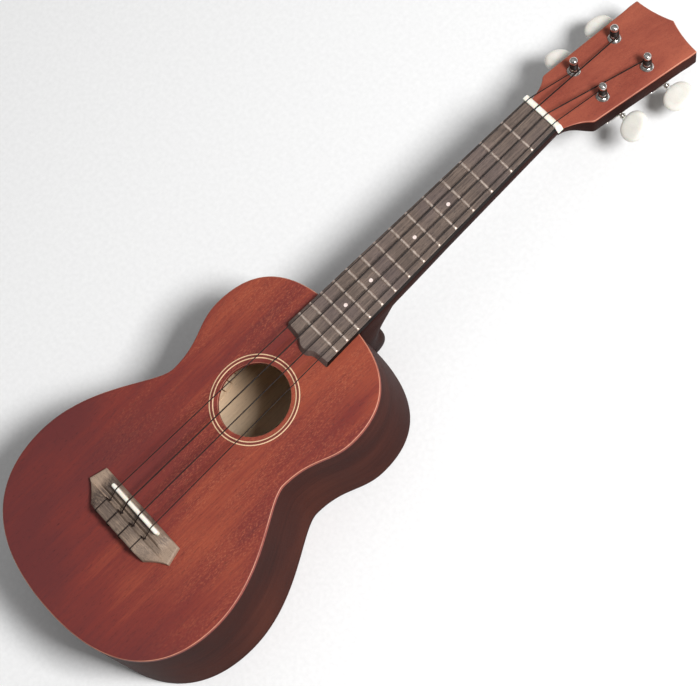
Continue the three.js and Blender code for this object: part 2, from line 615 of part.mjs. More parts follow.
function makeTuners() {
  for (const { name, side, x, y, turn } of TUNERS) {
    const tuner = new THREE.Group();
    tuner.position.set(side * x, y, 0);
    tuner.rotation.z = side > 0 ? 0 : PI;
    head.add(tuner);
    addPart(`bushing_${name}`, bushing(), CHROME, tuner);
    addPart(`tuner_plate_${name}`, tunerPlate(side), CHROME, tuner);
    addPart(`post_${name}`, post(), CHROME, tuner);
    addPart(`gear_${name}`, gear(), BRASS, tuner);
    addPart(`worm_shaft_${name}`, wormShaft(side), CHROME, tuner);
    addPart(`button_${name}`, button(side, turn), IVORY, tuner);
  }
}

makeSoundBox();
makeInnerParts();
makeNeck();
makeFretboard();
makeNut();
makeBridge();
makeSaddle();
makeStrings();
makeTuners();

export default model;
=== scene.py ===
"""The looks of a soprano ukulele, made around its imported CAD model.

Sizes are in millimetres and become metres where a mesh is made. +Y runs to the head, +Z out of
the soundboard, and the back lies on z = 0.
"""
import json
import math

import bmesh
import bpy
import numpy as np
from mathutils import Matrix, Vector


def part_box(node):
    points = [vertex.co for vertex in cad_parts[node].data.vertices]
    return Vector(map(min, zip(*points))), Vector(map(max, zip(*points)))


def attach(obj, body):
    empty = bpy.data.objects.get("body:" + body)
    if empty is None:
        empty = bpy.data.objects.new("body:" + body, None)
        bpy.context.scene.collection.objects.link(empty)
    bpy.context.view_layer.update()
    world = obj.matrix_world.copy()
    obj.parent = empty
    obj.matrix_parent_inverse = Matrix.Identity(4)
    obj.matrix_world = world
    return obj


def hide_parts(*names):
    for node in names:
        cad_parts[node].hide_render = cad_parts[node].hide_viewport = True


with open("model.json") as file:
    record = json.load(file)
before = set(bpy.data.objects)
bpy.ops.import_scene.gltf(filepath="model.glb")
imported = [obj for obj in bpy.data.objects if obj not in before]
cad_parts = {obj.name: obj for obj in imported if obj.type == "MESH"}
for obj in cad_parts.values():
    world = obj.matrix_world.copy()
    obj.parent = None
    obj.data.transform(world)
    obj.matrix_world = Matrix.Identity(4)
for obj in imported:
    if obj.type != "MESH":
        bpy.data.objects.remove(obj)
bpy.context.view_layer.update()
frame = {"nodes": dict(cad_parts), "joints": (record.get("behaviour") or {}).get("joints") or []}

MM = 0.001


# ---------------------------------------------------------------- sizes taken from the frame
def node_box(name):
    low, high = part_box(name)
    return low / MM, high / MM


JOINTS = {joint["name"]: joint for joint in frame["joints"]}
BODY_LOW, BODY_HIGH = node_box("soundboard")
BODY_TOP = BODY_HIGH.z
PLATE_UNDER = BODY_LOW.z
BACK_INSIDE = node_box("back_plate")[1].z
HOLE_CENTRE_Y = sum(corner.y for corner in node_box("rosette")) / 2
BOARD_LOW, BOARD_HIGH = node_box("fretboard")
NUT_LOW, NUT_HIGH = node_box("nut")
SADDLE_LOW, SADDLE_HIGH = node_box("saddle")
BRIDGE_LOW, BRIDGE_HIGH = node_box("bridge")
NECK_TOP = BODY_TOP
POST_AXIS = Vector(JOINTS["post_g_turn"]["axis"])
LOWER_POST = Vector(JOINTS["post_g_turn"]["pos_m"]) / MM

# ---------------------------------------------------------------- sizes of the design
LOWER_BOUT_Y = -198
WAIST = (55.5, -110)
UPPER_BOUT = (67.3, -61)
OUTLINE_STEPS = 44
SOUND_HOLE_RADIUS = 24
ROSETTE_WIDTH = 3.3
SIDE_THICKNESS = 2
SIDE_LEVELS = 7
LINING_WIDTH = 4.5
LINING_HEIGHT = 8
JOIN_GAP = 0.02  # between the linings and what they are glued to
LOWER_POST_ALONG_HEAD = 35.6
NECK_DEPTH = 13.4
HEAD_THICKNESS = 11.5
HEAD_LENGTH = 108.3
SHOULDER = (24, 20.6)  # across and along the head, where its straight sides begin
HEAD_CORNER = (27.6, 102.3)  # where they end
BOARD_WIDEST_Y = -41.3
BOARD_HALF_AT_NUT = 14.1
NUT_SLOT_Z = BOARD_HIGH.z + 1.3
STRING_HOLE_Z = BODY_TOP + 5
TIE_FRONT_Y = -195
TUNER_NAMES = ("g", "c", "e", "a")
STRINGS = {
    "string_1_g": {"tuner": "g", "radius": 0.35, "saddle_x": -17.8, "nut_x": -12.1},
    "string_2_c": {"tuner": "c", "radius": 0.47, "saddle_x": -5.95, "nut_x": -4.05},
    "string_3_e": {"tuner": "e", "radius": 0.41, "saddle_x": 5.95, "nut_x": 4.05},
    "string_4_a": {"tuner": "a", "radius": 0.33, "saddle_x": 17.8, "nut_x": 12.1},
}
DOTTED_FRETS = (5, 7, 10, 12)


# ---------------------------------------------------------------- camera, in metres
CAMERA_PLACE = Vector((0.7177, -0.0414, 1.5042))
CAMERA_TARGET = Vector((0.0150, -0.0203, 0.0600))
CAMERA_UP = Vector((-0.637, 0.701, 0.320))  # about: it only sets the roll


def add_object(name, data):
    """Puts a mesh, light or camera into the scene."""
    thing = bpy.data.objects.new(name, data)
    bpy.context.scene.collection.objects.link(thing)
    return thing


def make_camera():
    data = bpy.data.cameras.new("camera")
    data.sensor_width = 36
    data.lens = 133.7
    data.clip_start = 0.1
    data.clip_end = 20
    back = (CAMERA_PLACE - CAMERA_TARGET).normalized()
    right = CAMERA_UP.cross(back).normalized()
    turn = Matrix((right, back.cross(right), back)).transposed().to_4x4()
    camera = add_object("camera", data)
    camera.matrix_world = Matrix.Translation(CAMERA_PLACE) @ turn
    bpy.context.scene.camera = camera


# ---------------------------------------------------------------- materials
def srgb(red, green, blue):
    """A colour given as it looks on a screen, 0 to 255, as Blender's linear colour."""
    shares = [value / 255 for value in (red, green, blue)]
    linear = [s / 12.92 if s <= 0.04045 else ((s + 0.055) / 1.055) ** 2.4 for s in shares]
    return (*linear, 1)


class Look:
    """A material and short ways to add nodes to it."""

    def __init__(self, name, **shader):
        self.material = bpy.data.materials.new(name)
        self.material.use_nodes = True
        self.tree = self.material.node_tree
        self.shader = self.tree.nodes["Principled BSDF"]
        for socket, value in shader.items():
            self.shader.inputs[socket.replace("_", " ")].default_value = value

    def node(self, kind, inputs, output=0, **settings):
        node = self.tree.nodes.new(kind)
        for name, value in settings.items():
            setattr(node, name, value)
        for socket, value in inputs.items():
            if isinstance(value, bpy.types.NodeSocket):
                self.tree.links.new(value, node.inputs[socket])
            else:
                node.inputs[socket].default_value = value
        return node.outputs[output]

    def place(self, attribute=None):
        """Where a point is, in millimetres: its place in the object, or a stored attribute."""
        if attribute:
            metres = self.node("ShaderNodeAttribute", {}, output=1, attribute_name=attribute)
        else:
            metres = self.node("ShaderNodeTexCoord", {}, output=3)
        return self.node("ShaderNodeVectorMath", {0: metres, 3: 1 / MM}, operation="SCALE")

    def noise(self, place, size, detail=3, roughness=0.5, seed=0):
        """Noise whose blobs measure about size = (x, y, z) millimetres."""
        scale = tuple(1 / value for value in size)
        inputs = {"Vector": place, "Location": (seed, seed, seed), "Scale": scale}
        moved = self.node("ShaderNodeMapping", inputs)
        inputs = {"Vector": moved, "Scale": 1, "Detail": detail, "Roughness": roughness}
        return self.node("ShaderNodeTexNoise", inputs)

    def ramp(self, value, stops, interpolation="LINEAR"):
        node = self.tree.nodes.new("ShaderNodeValToRGB")
        node.color_ramp.interpolation = interpolation
        elements = node.color_ramp.elements
        while len(elements) < len(stops):
            elements.new(1)
        for element, (position, colour) in zip(elements, stops):
            element.position = position
            element.color = colour if isinstance(colour, tuple) else (colour, colour, colour, 1)
        self.tree.links.new(value, node.inputs[0])
        return node.outputs[0]

    def step(self, value, low, high):
        """0 below low, 1 above high, smooth between. Works with low above high too."""
        inputs = {0: value, 1: low, 2: high, 3: 0, 4: 1}
        return self.node("ShaderNodeMapRange", inputs, interpolation_type="SMOOTHSTEP")

    def math(self, operation, a, b=0.0):
        return self.node("ShaderNodeMath", {0: a, 1: b}, operation=operation)

    def total(self, *parts):
        """The sum of (share, layer) parts, each layer times its share."""
        terms = [self.math("MULTIPLY", layer, share) for share, layer in parts]
        total = terms[0]
        for term in terms[1:]:
            total = self.math("ADD", total, term)
        return total

    def along_vector(self, place, direction):
        """How far a place or a normal reaches along a direction."""
        return self.node("ShaderNodeVectorMath", {0: place, 1: direction}, output=1, operation="DOT_PRODUCT")

    def blend(self, share, a, b, mode="MIX"):
        inputs = {0: share, 6: a, 7: b}
        return self.node("ShaderNodeMix", inputs, output=2, data_type="RGBA", blend_type=mode)

    def finish(self, colour, roughness=None, height=None, depth=0.05):
        """Links the colour, roughness and a height map whose full range is depth millimetres."""
        links = self.tree.links
        links.new(colour, self.shader.inputs["Base Color"])
        if roughness is not None:
            links.new(roughness, self.shader.inputs["Roughness"])
        if height is not None:
            inputs = {"Height": height, "Strength": 1, "Distance": depth * MM}
            normal = self.node("ShaderNodeBump", inputs)
            links.new(normal, self.shader.inputs["Normal"])
        return self.material


def along(axis, across, length):
    """Blob size for a grain that runs along one axis."""
    return tuple(length if index == axis else across for index in range(3))


def wood(name, tones, axis=1, attribute=None, pores=0.35, patch=70, gloss=(0.34, 0.52), flecks=0.0,
         lean=None, edge=None, **shader):
    """Open-pored wood with a tone from patches, ribbons, streaks and fibres.

    tones are its dark, middle and light colours. flecks is the strength of the light flecks, which lie
    in some zones only. lean is how much lighter the board gets in a metre along x and y, counted from
    the waist: partly the wood's own tone, partly painted light that falls from the +x, +y side. edge is
    the direction a flat face looks in and the colour of its rounded edges, which is painted highlight and
    wear in one.
    """
    look = Look(name, **shader)
    place = look.place(attribute)
    patches = look.noise(place, (patch, patch * 1.6, patch), detail=2, seed=3.1)
    ribbons = look.noise(place, along(axis, 7, 150), detail=3, seed=7.7)
    streaks = look.noise(place, along(axis, 1.6, 60), detail=4, roughness=0.6, seed=1.3)
    fibres = look.noise(place, along(axis, 0.35, 9), detail=2, seed=5.9)
    tone = look.total((0.5, patches), (0.2, ribbons), (0.16, streaks), (0.14, fibres))
    # The board gets lighter towards +x and +y, where the key light stands: partly its own tone, partly
    # painted light.
    if lean:
        slope = Vector((*lean, 0)) * MM
        rise = look.math("SUBTRACT", look.along_vector(place, slope), slope.y * WAIST[1])
        tone = look.math("ADD", tone, rise)
    dark, middle, light = tones
    colour = look.ramp(tone, [(0.36, dark), (0.5, middle), (0.64, light)])
    if flecks:
        specks = look.step(look.noise(place, along(axis, 0.5, 1.8), detail=2, seed=17.3), 0.48, 0.7)
        zone = look.step(look.noise(place, along(axis, 18, 80), detail=2, seed=23.1), 0.36, 0.6)
        if lean:
            zone = look.math("MULTIPLY", zone, look.step(rise, -0.07, -0.01))
        share = look.math("MULTIPLY", look.math("MULTIPLY", specks, zone), flecks)
        colour = look.blend(share, colour, FLECK)
    dashes = look.noise(place, along(axis, 0.3, 3.2), detail=1, seed=11.2)
    open_pores = look.step(dashes, 0.6, 0.72)
    shade = look.ramp(open_pores, [(0, 1.0), (1, 1 - pores)])
    colour = look.blend(1.0, colour, shade, "MULTIPLY")
    # Rounded edges get a paler colour in patches: a painted highlight where the rounding catches the light,
    # and wear.
    if edge:
        direction, worn = edge
        normal = look.node("ShaderNodeNewGeometry", {}, output=1)
        facing = look.along_vector(normal, direction)
        band = look.math("MULTIPLY", look.step(facing, 0.5, 0.7), look.step(facing, 0.955, 0.84))
        wear = look.noise(place, (26, 26, 26), detail=3, seed=31.7)
        highlight_and_wear_share = look.math("MULTIPLY", band, look.step(wear, 0.2, 0.62))
        colour = look.blend(highlight_and_wear_share, colour, worn)
    roughness = look.ramp(look.total((0.5, fibres), (0.5, patches)), [(0.3, gloss[0]), (0.7, gloss[1])])
    height = look.math("SUBTRACT", look.math("MULTIPLY", fibres, 0.35), open_pores)
    return look.finish(colour, roughness, height, depth=0.045)


def metal(name, bright, dull, axis=0, brushed=0.1, gloss=(0.12, 0.26)):
    """Polished metal with faint stains and fine marks along one axis."""
    look = Look(name, Metallic=1.0)
    place = look.place()
    stains = look.noise(place, (2.2, 2.2, 2.2), detail=4, seed=2.2)
    marks = look.noise(place, along(axis, 0.06, 1.6), detail=2, seed=4.4)
    colour = look.ramp(stains, [(0.35, dull), (0.6, bright)])
    roughness = look.ramp(look.total((0.6, stains), (0.4, marks)), [(0.35, gloss[0]), (0.65, gloss[1])])
    return look.finish(colour, roughness, look.math("MULTIPLY", marks, brushed), depth=0.02)


def plastic(name, tones, gloss, cloud=6, dimple=0.02, **shader):
    """Moulded or polished plastic, slightly cloudy."""
    look = Look(name, **shader)
    place = look.place()
    clouds = look.noise(place, (cloud, cloud, cloud), detail=3, seed=8.8)
    grain = look.noise(place, (0.5, 0.5, 0.5), detail=2, seed=6.1)
    colour = look.ramp(look.total((0.8, clouds), (0.2, grain)), [(0.35, tones[0]), (0.65, tones[1])])
    roughness = look.ramp(grain, [(0.3, gloss[0]), (0.7, gloss[1])])
    return look.finish(colour, roughness, clouds, depth=dimple)


def rosewood(name, tones, wear, axis=1, pale_from=None, specular=0.4):
    """Dry rosewood: dark streaks, open pores and worn patches.

    tones are its dark, middle and light colours, and wear is the colour of the patches. Where x is past
    pale_from on either side, the wood fades to its light colour.
    """
    look = Look(name, Specular_IOR_Level=specular)
    place = look.place()
    patches = look.noise(place, (14, 22, 14), detail=4, roughness=0.6, seed=9.3)
    streaks = look.noise(place, along(axis, 0.9, 26), detail=4, roughness=0.65, seed=2.7)
    fine = look.noise(place, along(axis, 0.25, 5), detail=3, seed=12.5)
    tone = look.total((0.55, streaks), (0.25, patches), (0.2, fine))
    dark, middle, light = tones
    colour = look.ramp(tone, [(0.34, dark), (0.5, middle), (0.66, light)])
    tint = look.noise(place, (30, 30, 30), detail=1, seed=21.4)
    colour = look.blend(look.math("MULTIPLY", look.step(tint, 0.42, 0.62), 0.35), colour, wear)
    if pale_from:
        x = look.math("ABSOLUTE", look.node("ShaderNodeSeparateXYZ", {0: place}))
        pale = look.math("MULTIPLY", look.step(x, pale_from, pale_from + 7), 0.75)
        colour = look.blend(pale, colour, light)
    pores = look.step(look.noise(place, along(axis, 0.22, 2.6), detail=1, seed=15.1), 0.58, 0.7)
    colour = look.blend(1.0, colour, look.ramp(pores, [(0, 1.0), (1, 0.45)]), "MULTIPLY")
    roughness = look.ramp(fine, [(0.3, 0.42), (0.7, 0.66)])
    height = look.math("SUBTRACT", look.math("MULTIPLY", fine, 0.4), pores)
    return look.finish(colour, roughness, height, depth=0.06)


def rosette_outer():
    low, high = node_box("rosette")
    return (high.x - low.x) / 2


def rosette_look():
    """Two cream lines with a dark red band between them, by distance from the hole's centre."""
    look = Look("rosette_inlay", Specular_IOR_Level=0.4)
    place = look.place()
    centre = (0, HOLE_CENTRE_Y, BODY_TOP)
    offset = look.node("ShaderNodeVectorMath", {0: place, 1: centre}, operation="SUBTRACT")
    radius = look.node("ShaderNodeVectorMath", {0: offset}, output=1, operation="LENGTH")
    cream, thread, band = srgb(238, 196, 158), srgb(92, 44, 36), srgb(122, 56, 46)
    outer = rosette_outer()
    share = look.node("ShaderNodeMapRange", {0: radius, 1: outer - ROSETTE_WIDTH, 2: outer, 3: 0, 4: 1})
    stops = [(0, thread), (0.05, cream), (0.27, thread), (0.31, band), (0.69, thread), (0.73, cream),
             (0.95, thread)]
    colour = look.ramp(share, stops, "CONSTANT")
    grain = look.noise(place, (0.8, 0.8, 0.8), detail=3, seed=1.9)
    colour = look.blend(1.0, colour, look.ramp(grain, [(0.3, 0.84), (0.6, 1.0)]), "MULTIPLY")
    roughness = look.ramp(grain, [(0.3, 0.35), (0.7, 0.5)])
    return look.finish(colour, roughness, grain, depth=0.02)


MAHOGANY_TONES = (srgb(103, 45, 44), srgb(124, 50, 43), srgb(158, 74, 52))
HEAD_TONES = (srgb(126, 55, 44), srgb(150, 75, 58), srgb(170, 90, 68))
# The mahogany of the sides and back is far darker than the top's: this paints their shade.
SIDE_TONES_PAINTED_SHADE = (srgb(46, 21, 17), srgb(61, 29, 23), srgb(78, 40, 31))
# The neck's mahogany is near black: painted shade on the neck, the heel and the head's sides and back.
NECK_TONES_PAINTED_SHADE = (srgb(30, 13, 11), srgb(44, 21, 17), srgb(60, 31, 25))
# The paler colour of the rounded edges of the top and the head: painted highlight and wear in one.
EDGE_HIGHLIGHT_AND_WEAR = srgb(206, 146, 118)
FLECK = srgb(186, 104, 74)
LOOKS = {
    # The top's lean paints part of the light that falls from the +x, +y side.
    "top": wood("mahogany_top", MAHOGANY_TONES, edge=((0, 0, 1), EDGE_HIGHLIGHT_AND_WEAR), flecks=0.5, lean=(0.3, 0.6),
                gloss=(0.42, 0.58), Specular_IOR_Level=0.35),
    "side": wood("mahogany_side", SIDE_TONES_PAINTED_SHADE, attribute="grain", patch=45, gloss=(0.5, 0.66),
                 Specular_IOR_Level=0.05),
    "head": wood("mahogany_head", HEAD_TONES, patch=50, edge=(tuple(POST_AXIS), EDGE_HIGHLIGHT_AND_WEAR), flecks=0.25,
                 gloss=(0.42, 0.58), Specular_IOR_Level=0.35),
    "neck": wood("mahogany_neck", NECK_TONES_PAINTED_SHADE, patch=50, gloss=(0.5, 0.66), Specular_IOR_Level=0.05),
    "bare": wood("bare_wood", (srgb(194, 164, 134), srgb(218, 192, 162), srgb(234, 214, 188)), pores=0.2,
                 gloss=(0.6, 0.8), patch=40),
    "bare_across": wood("bare_wood_across", (srgb(176, 146, 112), srgb(204, 176, 142), srgb(222, 200, 170)),
                        axis=0, pores=0.15, gloss=(0.6, 0.8), patch=30),
    "fretboard": rosewood("rosewood_fretboard", (srgb(70, 60, 55), srgb(112, 97, 88), srgb(142, 124, 112)),
                          srgb(106, 92, 92)),
    # The fretboard's long sides are near black: painted shade.
    "board_side": rosewood("rosewood_edge_painted_shade", (srgb(14, 10, 9), srgb(25, 19, 17), srgb(38, 30, 27)),
                           srgb(30, 24, 22), specular=0.08),
    "bridge": rosewood("rosewood_bridge", (srgb(64, 53, 48), srgb(102, 87, 78), srgb(172, 148, 128)),
                       srgb(174, 152, 132), axis=0, pale_from=27),
    "rosette": rosette_look(),
    "nickel": metal("nickel_silver", srgb(250, 234, 222), srgb(226, 206, 192), gloss=(0.48, 0.62)),
    "chrome": metal("chrome_plate", srgb(226, 222, 218), srgb(190, 184, 178)),
    "brass": metal("gear_brass", srgb(204, 168, 106), srgb(150, 118, 70), axis=2, gloss=(0.25, 0.4)),
    "ivory": plastic("ivory_plastic", (srgb(236, 228, 212), srgb(250, 246, 236)), (0.28, 0.4),
                     Subsurface_Weight=0.15, Subsurface_Scale=0.002),
    "button": plastic("button_plastic", (srgb(226, 222, 213), srgb(238, 235, 227)), (0.24, 0.34), cloud=9,
                      dimple=0.01, Subsurface_Weight=0.1, Subsurface_Scale=0.002),
    "pearl": plastic("pearl_dot", (srgb(232, 208, 200), srgb(252, 238, 232)), (0.25, 0.4), cloud=1.2),
    "nylon": plastic("black_nylon", (srgb(20, 12, 10), srgb(40, 26, 21)), (0.35, 0.5), cloud=3,
                     Specular_IOR_Level=0.3),
}


# ---------------------------------------------------------------- meshes
AXIS_RADIUS = 1e-4  # a point of a lathe's profile on the axis becomes a ring this small


def new_mesh(name, vertices, faces):
    """A mesh from a shell in millimetres, with its faces turned outwards."""
    mesh = bpy.data.meshes.new(name)
    mesh.from_pydata((np.asarray(vertices, float) * MM).tolist(), [], faces)
    edit = bmesh.new()
    edit.from_mesh(mesh)
    bmesh.ops.recalc_face_normals(edit, faces=edit.faces)
    edit.to_mesh(mesh)
    edit.free()
    return mesh


def make_piece(name, vertices, faces, look, slot, body="root", replaces=(), crease=35):
    """A closed smooth-shaded mesh that rides on a body. Edges sharper than crease degrees stay hard."""
    mesh = new_mesh(name, vertices, faces)
    mesh.shade_smooth()
    mesh.set_sharp_from_angle(angle=math.radians(crease))
    for one in [look] if isinstance(look, str) else look:
        mesh.materials.append(LOOKS[one])
    piece = add_object(name, mesh)
    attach(piece, body)
    if replaces:
        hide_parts(*replaces)
    return piece


def strips(rings, size, closed=False, offset=0):
    """Faces between neighbouring rings of size points. closed joins the last ring to the first."""
    faces = []
    for ring in range(rings if closed else rings - 1):
        here = offset + ring * size
        there = offset + ((ring + 1) % rings) * size
        for i in range(size):
            j = (i + 1) % size
            faces.append((here + i, here + j, there + j, there + i))
    return faces


def loft(rings, capped=True):
    """Vertices and faces of a skin through rings of equal size, with flat ends."""
    size = len(rings[0])
    faces = strips(len(rings), size)
    if capped:
        last = (len(rings) - 1) * size
        faces += [tuple(range(size)), tuple(range(last, last + size))]
    return np.concatenate(rings), faces


def join(*shells):
    """Several closed shells as one mesh."""
    vertices, faces, start = [], [], 0
    for shell_vertices, shell_faces in shells:
        vertices.append(np.asarray(shell_vertices, float))
        faces += [tuple(index + start for index in face) for face in shell_faces]
        start += len(shell_vertices)
    return np.concatenate(vertices), faces


def placed(shell, matrix):
    """A shell moved by a 4 by 4 matrix in millimetres."""
    vertices, faces = shell
    turn = np.array(matrix, float)
    return np.asarray(vertices) @ turn[:3, :3].T + turn[:3, 3], faces


def level(plan, z):
    """(x, y) points at one height."""
    return np.column_stack([plan, np.full(len(plan), z)])


def lathe(profile, segments=48, ring=False):
    """A profile of (radius, height) turned about z. It starts and ends on the axis, or is a closed ring."""
    angles = np.arange(segments) * 2 * math.pi / segments
    circle = np.stack([np.cos(angles), np.sin(angles)], 1)
    rings = [level(circle * max(radius, AXIS_RADIUS), height) for radius, height in profile]
    if ring:
        return np.concatenate(rings), strips(len(rings), segments, closed=True)
    return loft(rings)


def smooth_path(points, steps=6):
    """A curve through all the points (Catmull-Rom)."""
    points = np.asarray(points, float)
    padded = np.concatenate([[2 * points[0] - points[1]], points, [2 * points[-1] - points[-2]]])
    out = []
    for i in range(1, len(padded) - 2):
        a, b, c, d = padded[i - 1:i + 3]
        for t in np.arange(steps) / steps:
            out.append(0.5 * (2 * b + (c - a) * t + (2 * a - 5 * b + 4 * c - d) * t ** 2
                              + (3 * b - a - 3 * c + d) * t ** 3))
    out.append(points[-1])
    return np.array(out)


def rounded_path(points, radius, steps=6):
    """Straight runs between the points, with each corner rounded over about radius."""
    points = [np.asarray(point, float) for point in points]
    out = [points[0]]
    for before, corner, after in zip(points, points[1:], points[2:]):
        back, ahead = before - corner, after - corner
        reach = min(radius, 0.45 * np.linalg.norm(back), 0.45 * np.linalg.norm(ahead))
        start = corner + back / np.linalg.norm(back) * reach
        end = corner + ahead / np.linalg.norm(ahead) * reach
        for t in np.linspace(0, 1, steps):
            out.append((1 - t) ** 2 * start + 2 * t * (1 - t) * corner + t ** 2 * end)
    out.append(points[-1])
    return np.array(out)


def tube(path, radius, sides=14):
    """A round cord along a path, with rounded ends."""
    path = np.asarray(path, float)
    tangents = np.gradient(path, axis=0)
    tangents /= np.linalg.norm(tangents, axis=1)[:, None]
    across = np.cross(tangents[0], (0.31, 0.17, 0.93))
    angles = np.arange(sides) * 2 * math.pi / sides
    rings = []
    for centre, tangent in zip(path, tangents):
        across = across - tangent * (across @ tangent)
        across /= np.linalg.norm(across)
        up = np.cross(tangent, across)
        rings.append(centre + radius * (np.cos(angles)[:, None] * across + np.sin(angles)[:, None] * up))
    ends, bulge = [], 0.6 * radius
    for end, side in ((0, -1), (-1, 1)):
        ring, centre, tangent = rings[end], path[end], tangents[end]
        ends.append([centre + (ring - centre) * math.cos(a) + side * tangent * bulge * math.sin(a)
                     for a in map(math.radians, (35, 65, 85))])
    return loft([*ends[0][::-1], *rings, *ends[1]])


def add_bevel(piece, width, segments=3, angle=30):
    """Rounds the edges that are sharper than angle degrees."""
    bevel = piece.modifiers.new("bevel", "BEVEL")
    bevel.width = width * MM
    bevel.segments = segments
    bevel.limit_method = "ANGLE"
    bevel.angle_limit = math.radians(angle)
    bevel.harden_normals = True


def prism(outline, z0, z1):
    """An outline of (x, y) points given a thickness along z."""
    return loft([level(outline, z) for z in (z0, z1)])


def store_grain(piece, grain):
    """Keeps a wood-grain place for each vertex, in metres: across, along and through the wood."""
    attribute = piece.data.attributes.new("grain", "FLOAT_VECTOR", "POINT")
    attribute.data.foreach_set("vector", (np.asarray(grain) * MM).astype(np.float32).ravel())


def bezier(corners, t):
    """Points of a Bezier curve of any degree at the parameters t."""
    t = np.asarray(t, float)[:, None]
    level = [np.asarray(corner, float) for corner in corners]
    while len(level) > 1:
        level = [(1 - t) * a + t * b for a, b in zip(level, level[1:])]
    return level[0]


# ---------------------------------------------------------------- sound box
def body_outline():
    """The body's outline from the tail round the +X side, its outward normals and its arc length.

    Each curve leaves its ends straight along x or y, by the reaches below.
    """
    low, neck_y, tail_y = (BODY_HIGH.x, LOWER_BOUT_Y), BODY_HIGH.y, BODY_LOW.y
    tail_reach, low_down, low_up, waist_down, waist_up, upper_down, upper_up, neck_reach = (
        66, 40, 43, 14.5, 24.5, 19, 33.5, 45.8)
    t = np.arange(OUTLINE_STEPS) / OUTLINE_STEPS
    curves = [
        [(0, tail_y), (tail_reach, tail_y), (low[0], low[1] - low_down), low],
        [low, (low[0], low[1] + low_up), (WAIST[0], WAIST[1] - waist_down), WAIST],
        [WAIST, (WAIST[0], WAIST[1] + waist_up), (UPPER_BOUT[0], UPPER_BOUT[1] - upper_down), UPPER_BOUT],
        [UPPER_BOUT, (UPPER_BOUT[0], UPPER_BOUT[1] + upper_up), (neck_reach, neck_y), (0, neck_y)],
    ]
    right = np.concatenate([bezier(curve, t) for curve in curves] + [[(0, neck_y)]])
    left = right[-2:0:-1] * (-1, 1)
    points = np.concatenate([right, left])
    tangent = np.roll(points, -1, 0) - np.roll(points, 1, 0)
    tangent /= np.linalg.norm(tangent, axis=1)[:, None]
    normals = np.column_stack([tangent[:, 1], -tangent[:, 0]])
    length = np.concatenate([[0], np.cumsum(np.linalg.norm(np.diff(points, axis=0), axis=1))])
    return points, normals, length


OUTLINE, OUTLINE_NORMALS, OUTLINE_LENGTH = body_outline()


def inset_ring(inset, z):
    """The body's outline at height z, moved inwards."""
    return level(OUTLINE - OUTLINE_NORMALS * inset, z)


def hole_ring(radius, z):
    """A circle round the sound hole, with one point for each point of the body's outline."""
    offset = OUTLINE - (0, HOLE_CENTRE_Y)
    direction = offset / np.linalg.norm(offset, axis=1)[:, None]
    return level(direction * radius + (0, HOLE_CENTRE_Y), z)


def rounding(radius, steps=4):
    """(inset, drop) pairs of a quarter circle that rounds an edge."""
    angles = np.linspace(0, math.pi / 2, steps + 1)
    return [(radius * (1 - math.sin(a)), radius * (1 - math.cos(a))) for a in angles[::-1]]


FLAT_MARGIN = 0.8  # a narrow flat ring inside each rounded edge keeps its shading clean


def make_soundboard():
    """A plate with rounded edges: rings round the body turn step by step into rings round the hole."""
    edge, lip, chamfer = 0.9, 0.5, 0.2
    outer = [inset_ring(0, PLATE_UNDER)]
    outer += [inset_ring(inset, BODY_TOP - drop) for inset, drop in rounding(edge)]
    rim = inset_ring(edge + FLAT_MARGIN, BODY_TOP)
    flat = hole_ring(SOUND_HOLE_RADIUS + lip + FLAT_MARGIN, BODY_TOP)
    spans = [rim * (1 - share) + flat * share for share in np.linspace(0, 1, 7)]
    hole = [hole_ring(SOUND_HOLE_RADIUS + inset, BODY_TOP - drop) for inset, drop in rounding(lip)[::-1]]
    under = [hole_ring(SOUND_HOLE_RADIUS, PLATE_UNDER + chamfer),
             hole_ring(SOUND_HOLE_RADIUS + chamfer, PLATE_UNDER)]
    rings = [*outer, *spans, *hole, *under]
    vertices, faces = np.concatenate(rings), strips(len(rings), len(OUTLINE), closed=True)
    piece = make_piece("soundboard_top", vertices, faces, ["top", "bare"], "mahogany",
                       replaces=["soundboard"])
    inside = len(faces) - 2 * len(OUTLINE)
    for face in piece.data.polygons[inside:]:
        face.material_index = 1


def make_rosette():
    outer = rosette_outer()
    inner, proud, bevel = outer - ROSETTE_WIDTH, 0.03, 0.06
    profile = [(inner, BODY_TOP - 1), (inner, BODY_TOP), (inner + bevel, BODY_TOP + proud)]
    profile += [(outer - bevel, BODY_TOP + proud), (outer, BODY_TOP), (outer, BODY_TOP - 1)]
    shell = placed(lathe(profile, 160, ring=True), Matrix.Translation((0, HOLE_CENTRE_Y, 0)))
    make_piece("rosette_rings", *shell, "rosette", "rosette_inlay", replaces=["rosette"])


def make_back():
    edge = 1.4
    rings = [inset_ring(0, BACK_INSIDE)]
    rings += [inset_ring(inset, drop) for inset, drop in rounding(edge)]
    rings += [inset_ring(edge + FLAT_MARGIN, 0)]
    inner = inset_ring(SIDE_THICKNESS, BACK_INSIDE)
    vertices, faces = loft([inner, *rings])
    piece = make_piece("back_board", vertices, faces, ["side", "bare"], "dark_mahogany",
                       replaces=["back_plate"])
    store_grain(piece, vertices)
    piece.data.polygons[len(faces) - 2].material_index = 1


def make_sides():
    heights = np.linspace(BACK_INSIDE, PLATE_UNDER, SIDE_LEVELS)
    rings = [inset_ring(0, z) for z in heights] + [inset_ring(SIDE_THICKNESS, z) for z in heights[::-1]]
    faces = strips(len(rings), len(OUTLINE), closed=True)
    vertices = np.concatenate(rings)
    piece = make_piece("bent_sides", vertices, faces, ["side", "bare"], "dark_mahogany", replaces=["sides"])
    along_rim = np.tile(OUTLINE_LENGTH, len(rings))
    store_grain(piece, np.column_stack([vertices[:, 2], along_rim, np.zeros(len(vertices))]))
    band = len(OUTLINE)
    for face in piece.data.polygons[SIDE_LEVELS * band:(2 * SIDE_LEVELS - 1) * band]:
        face.material_index = 1


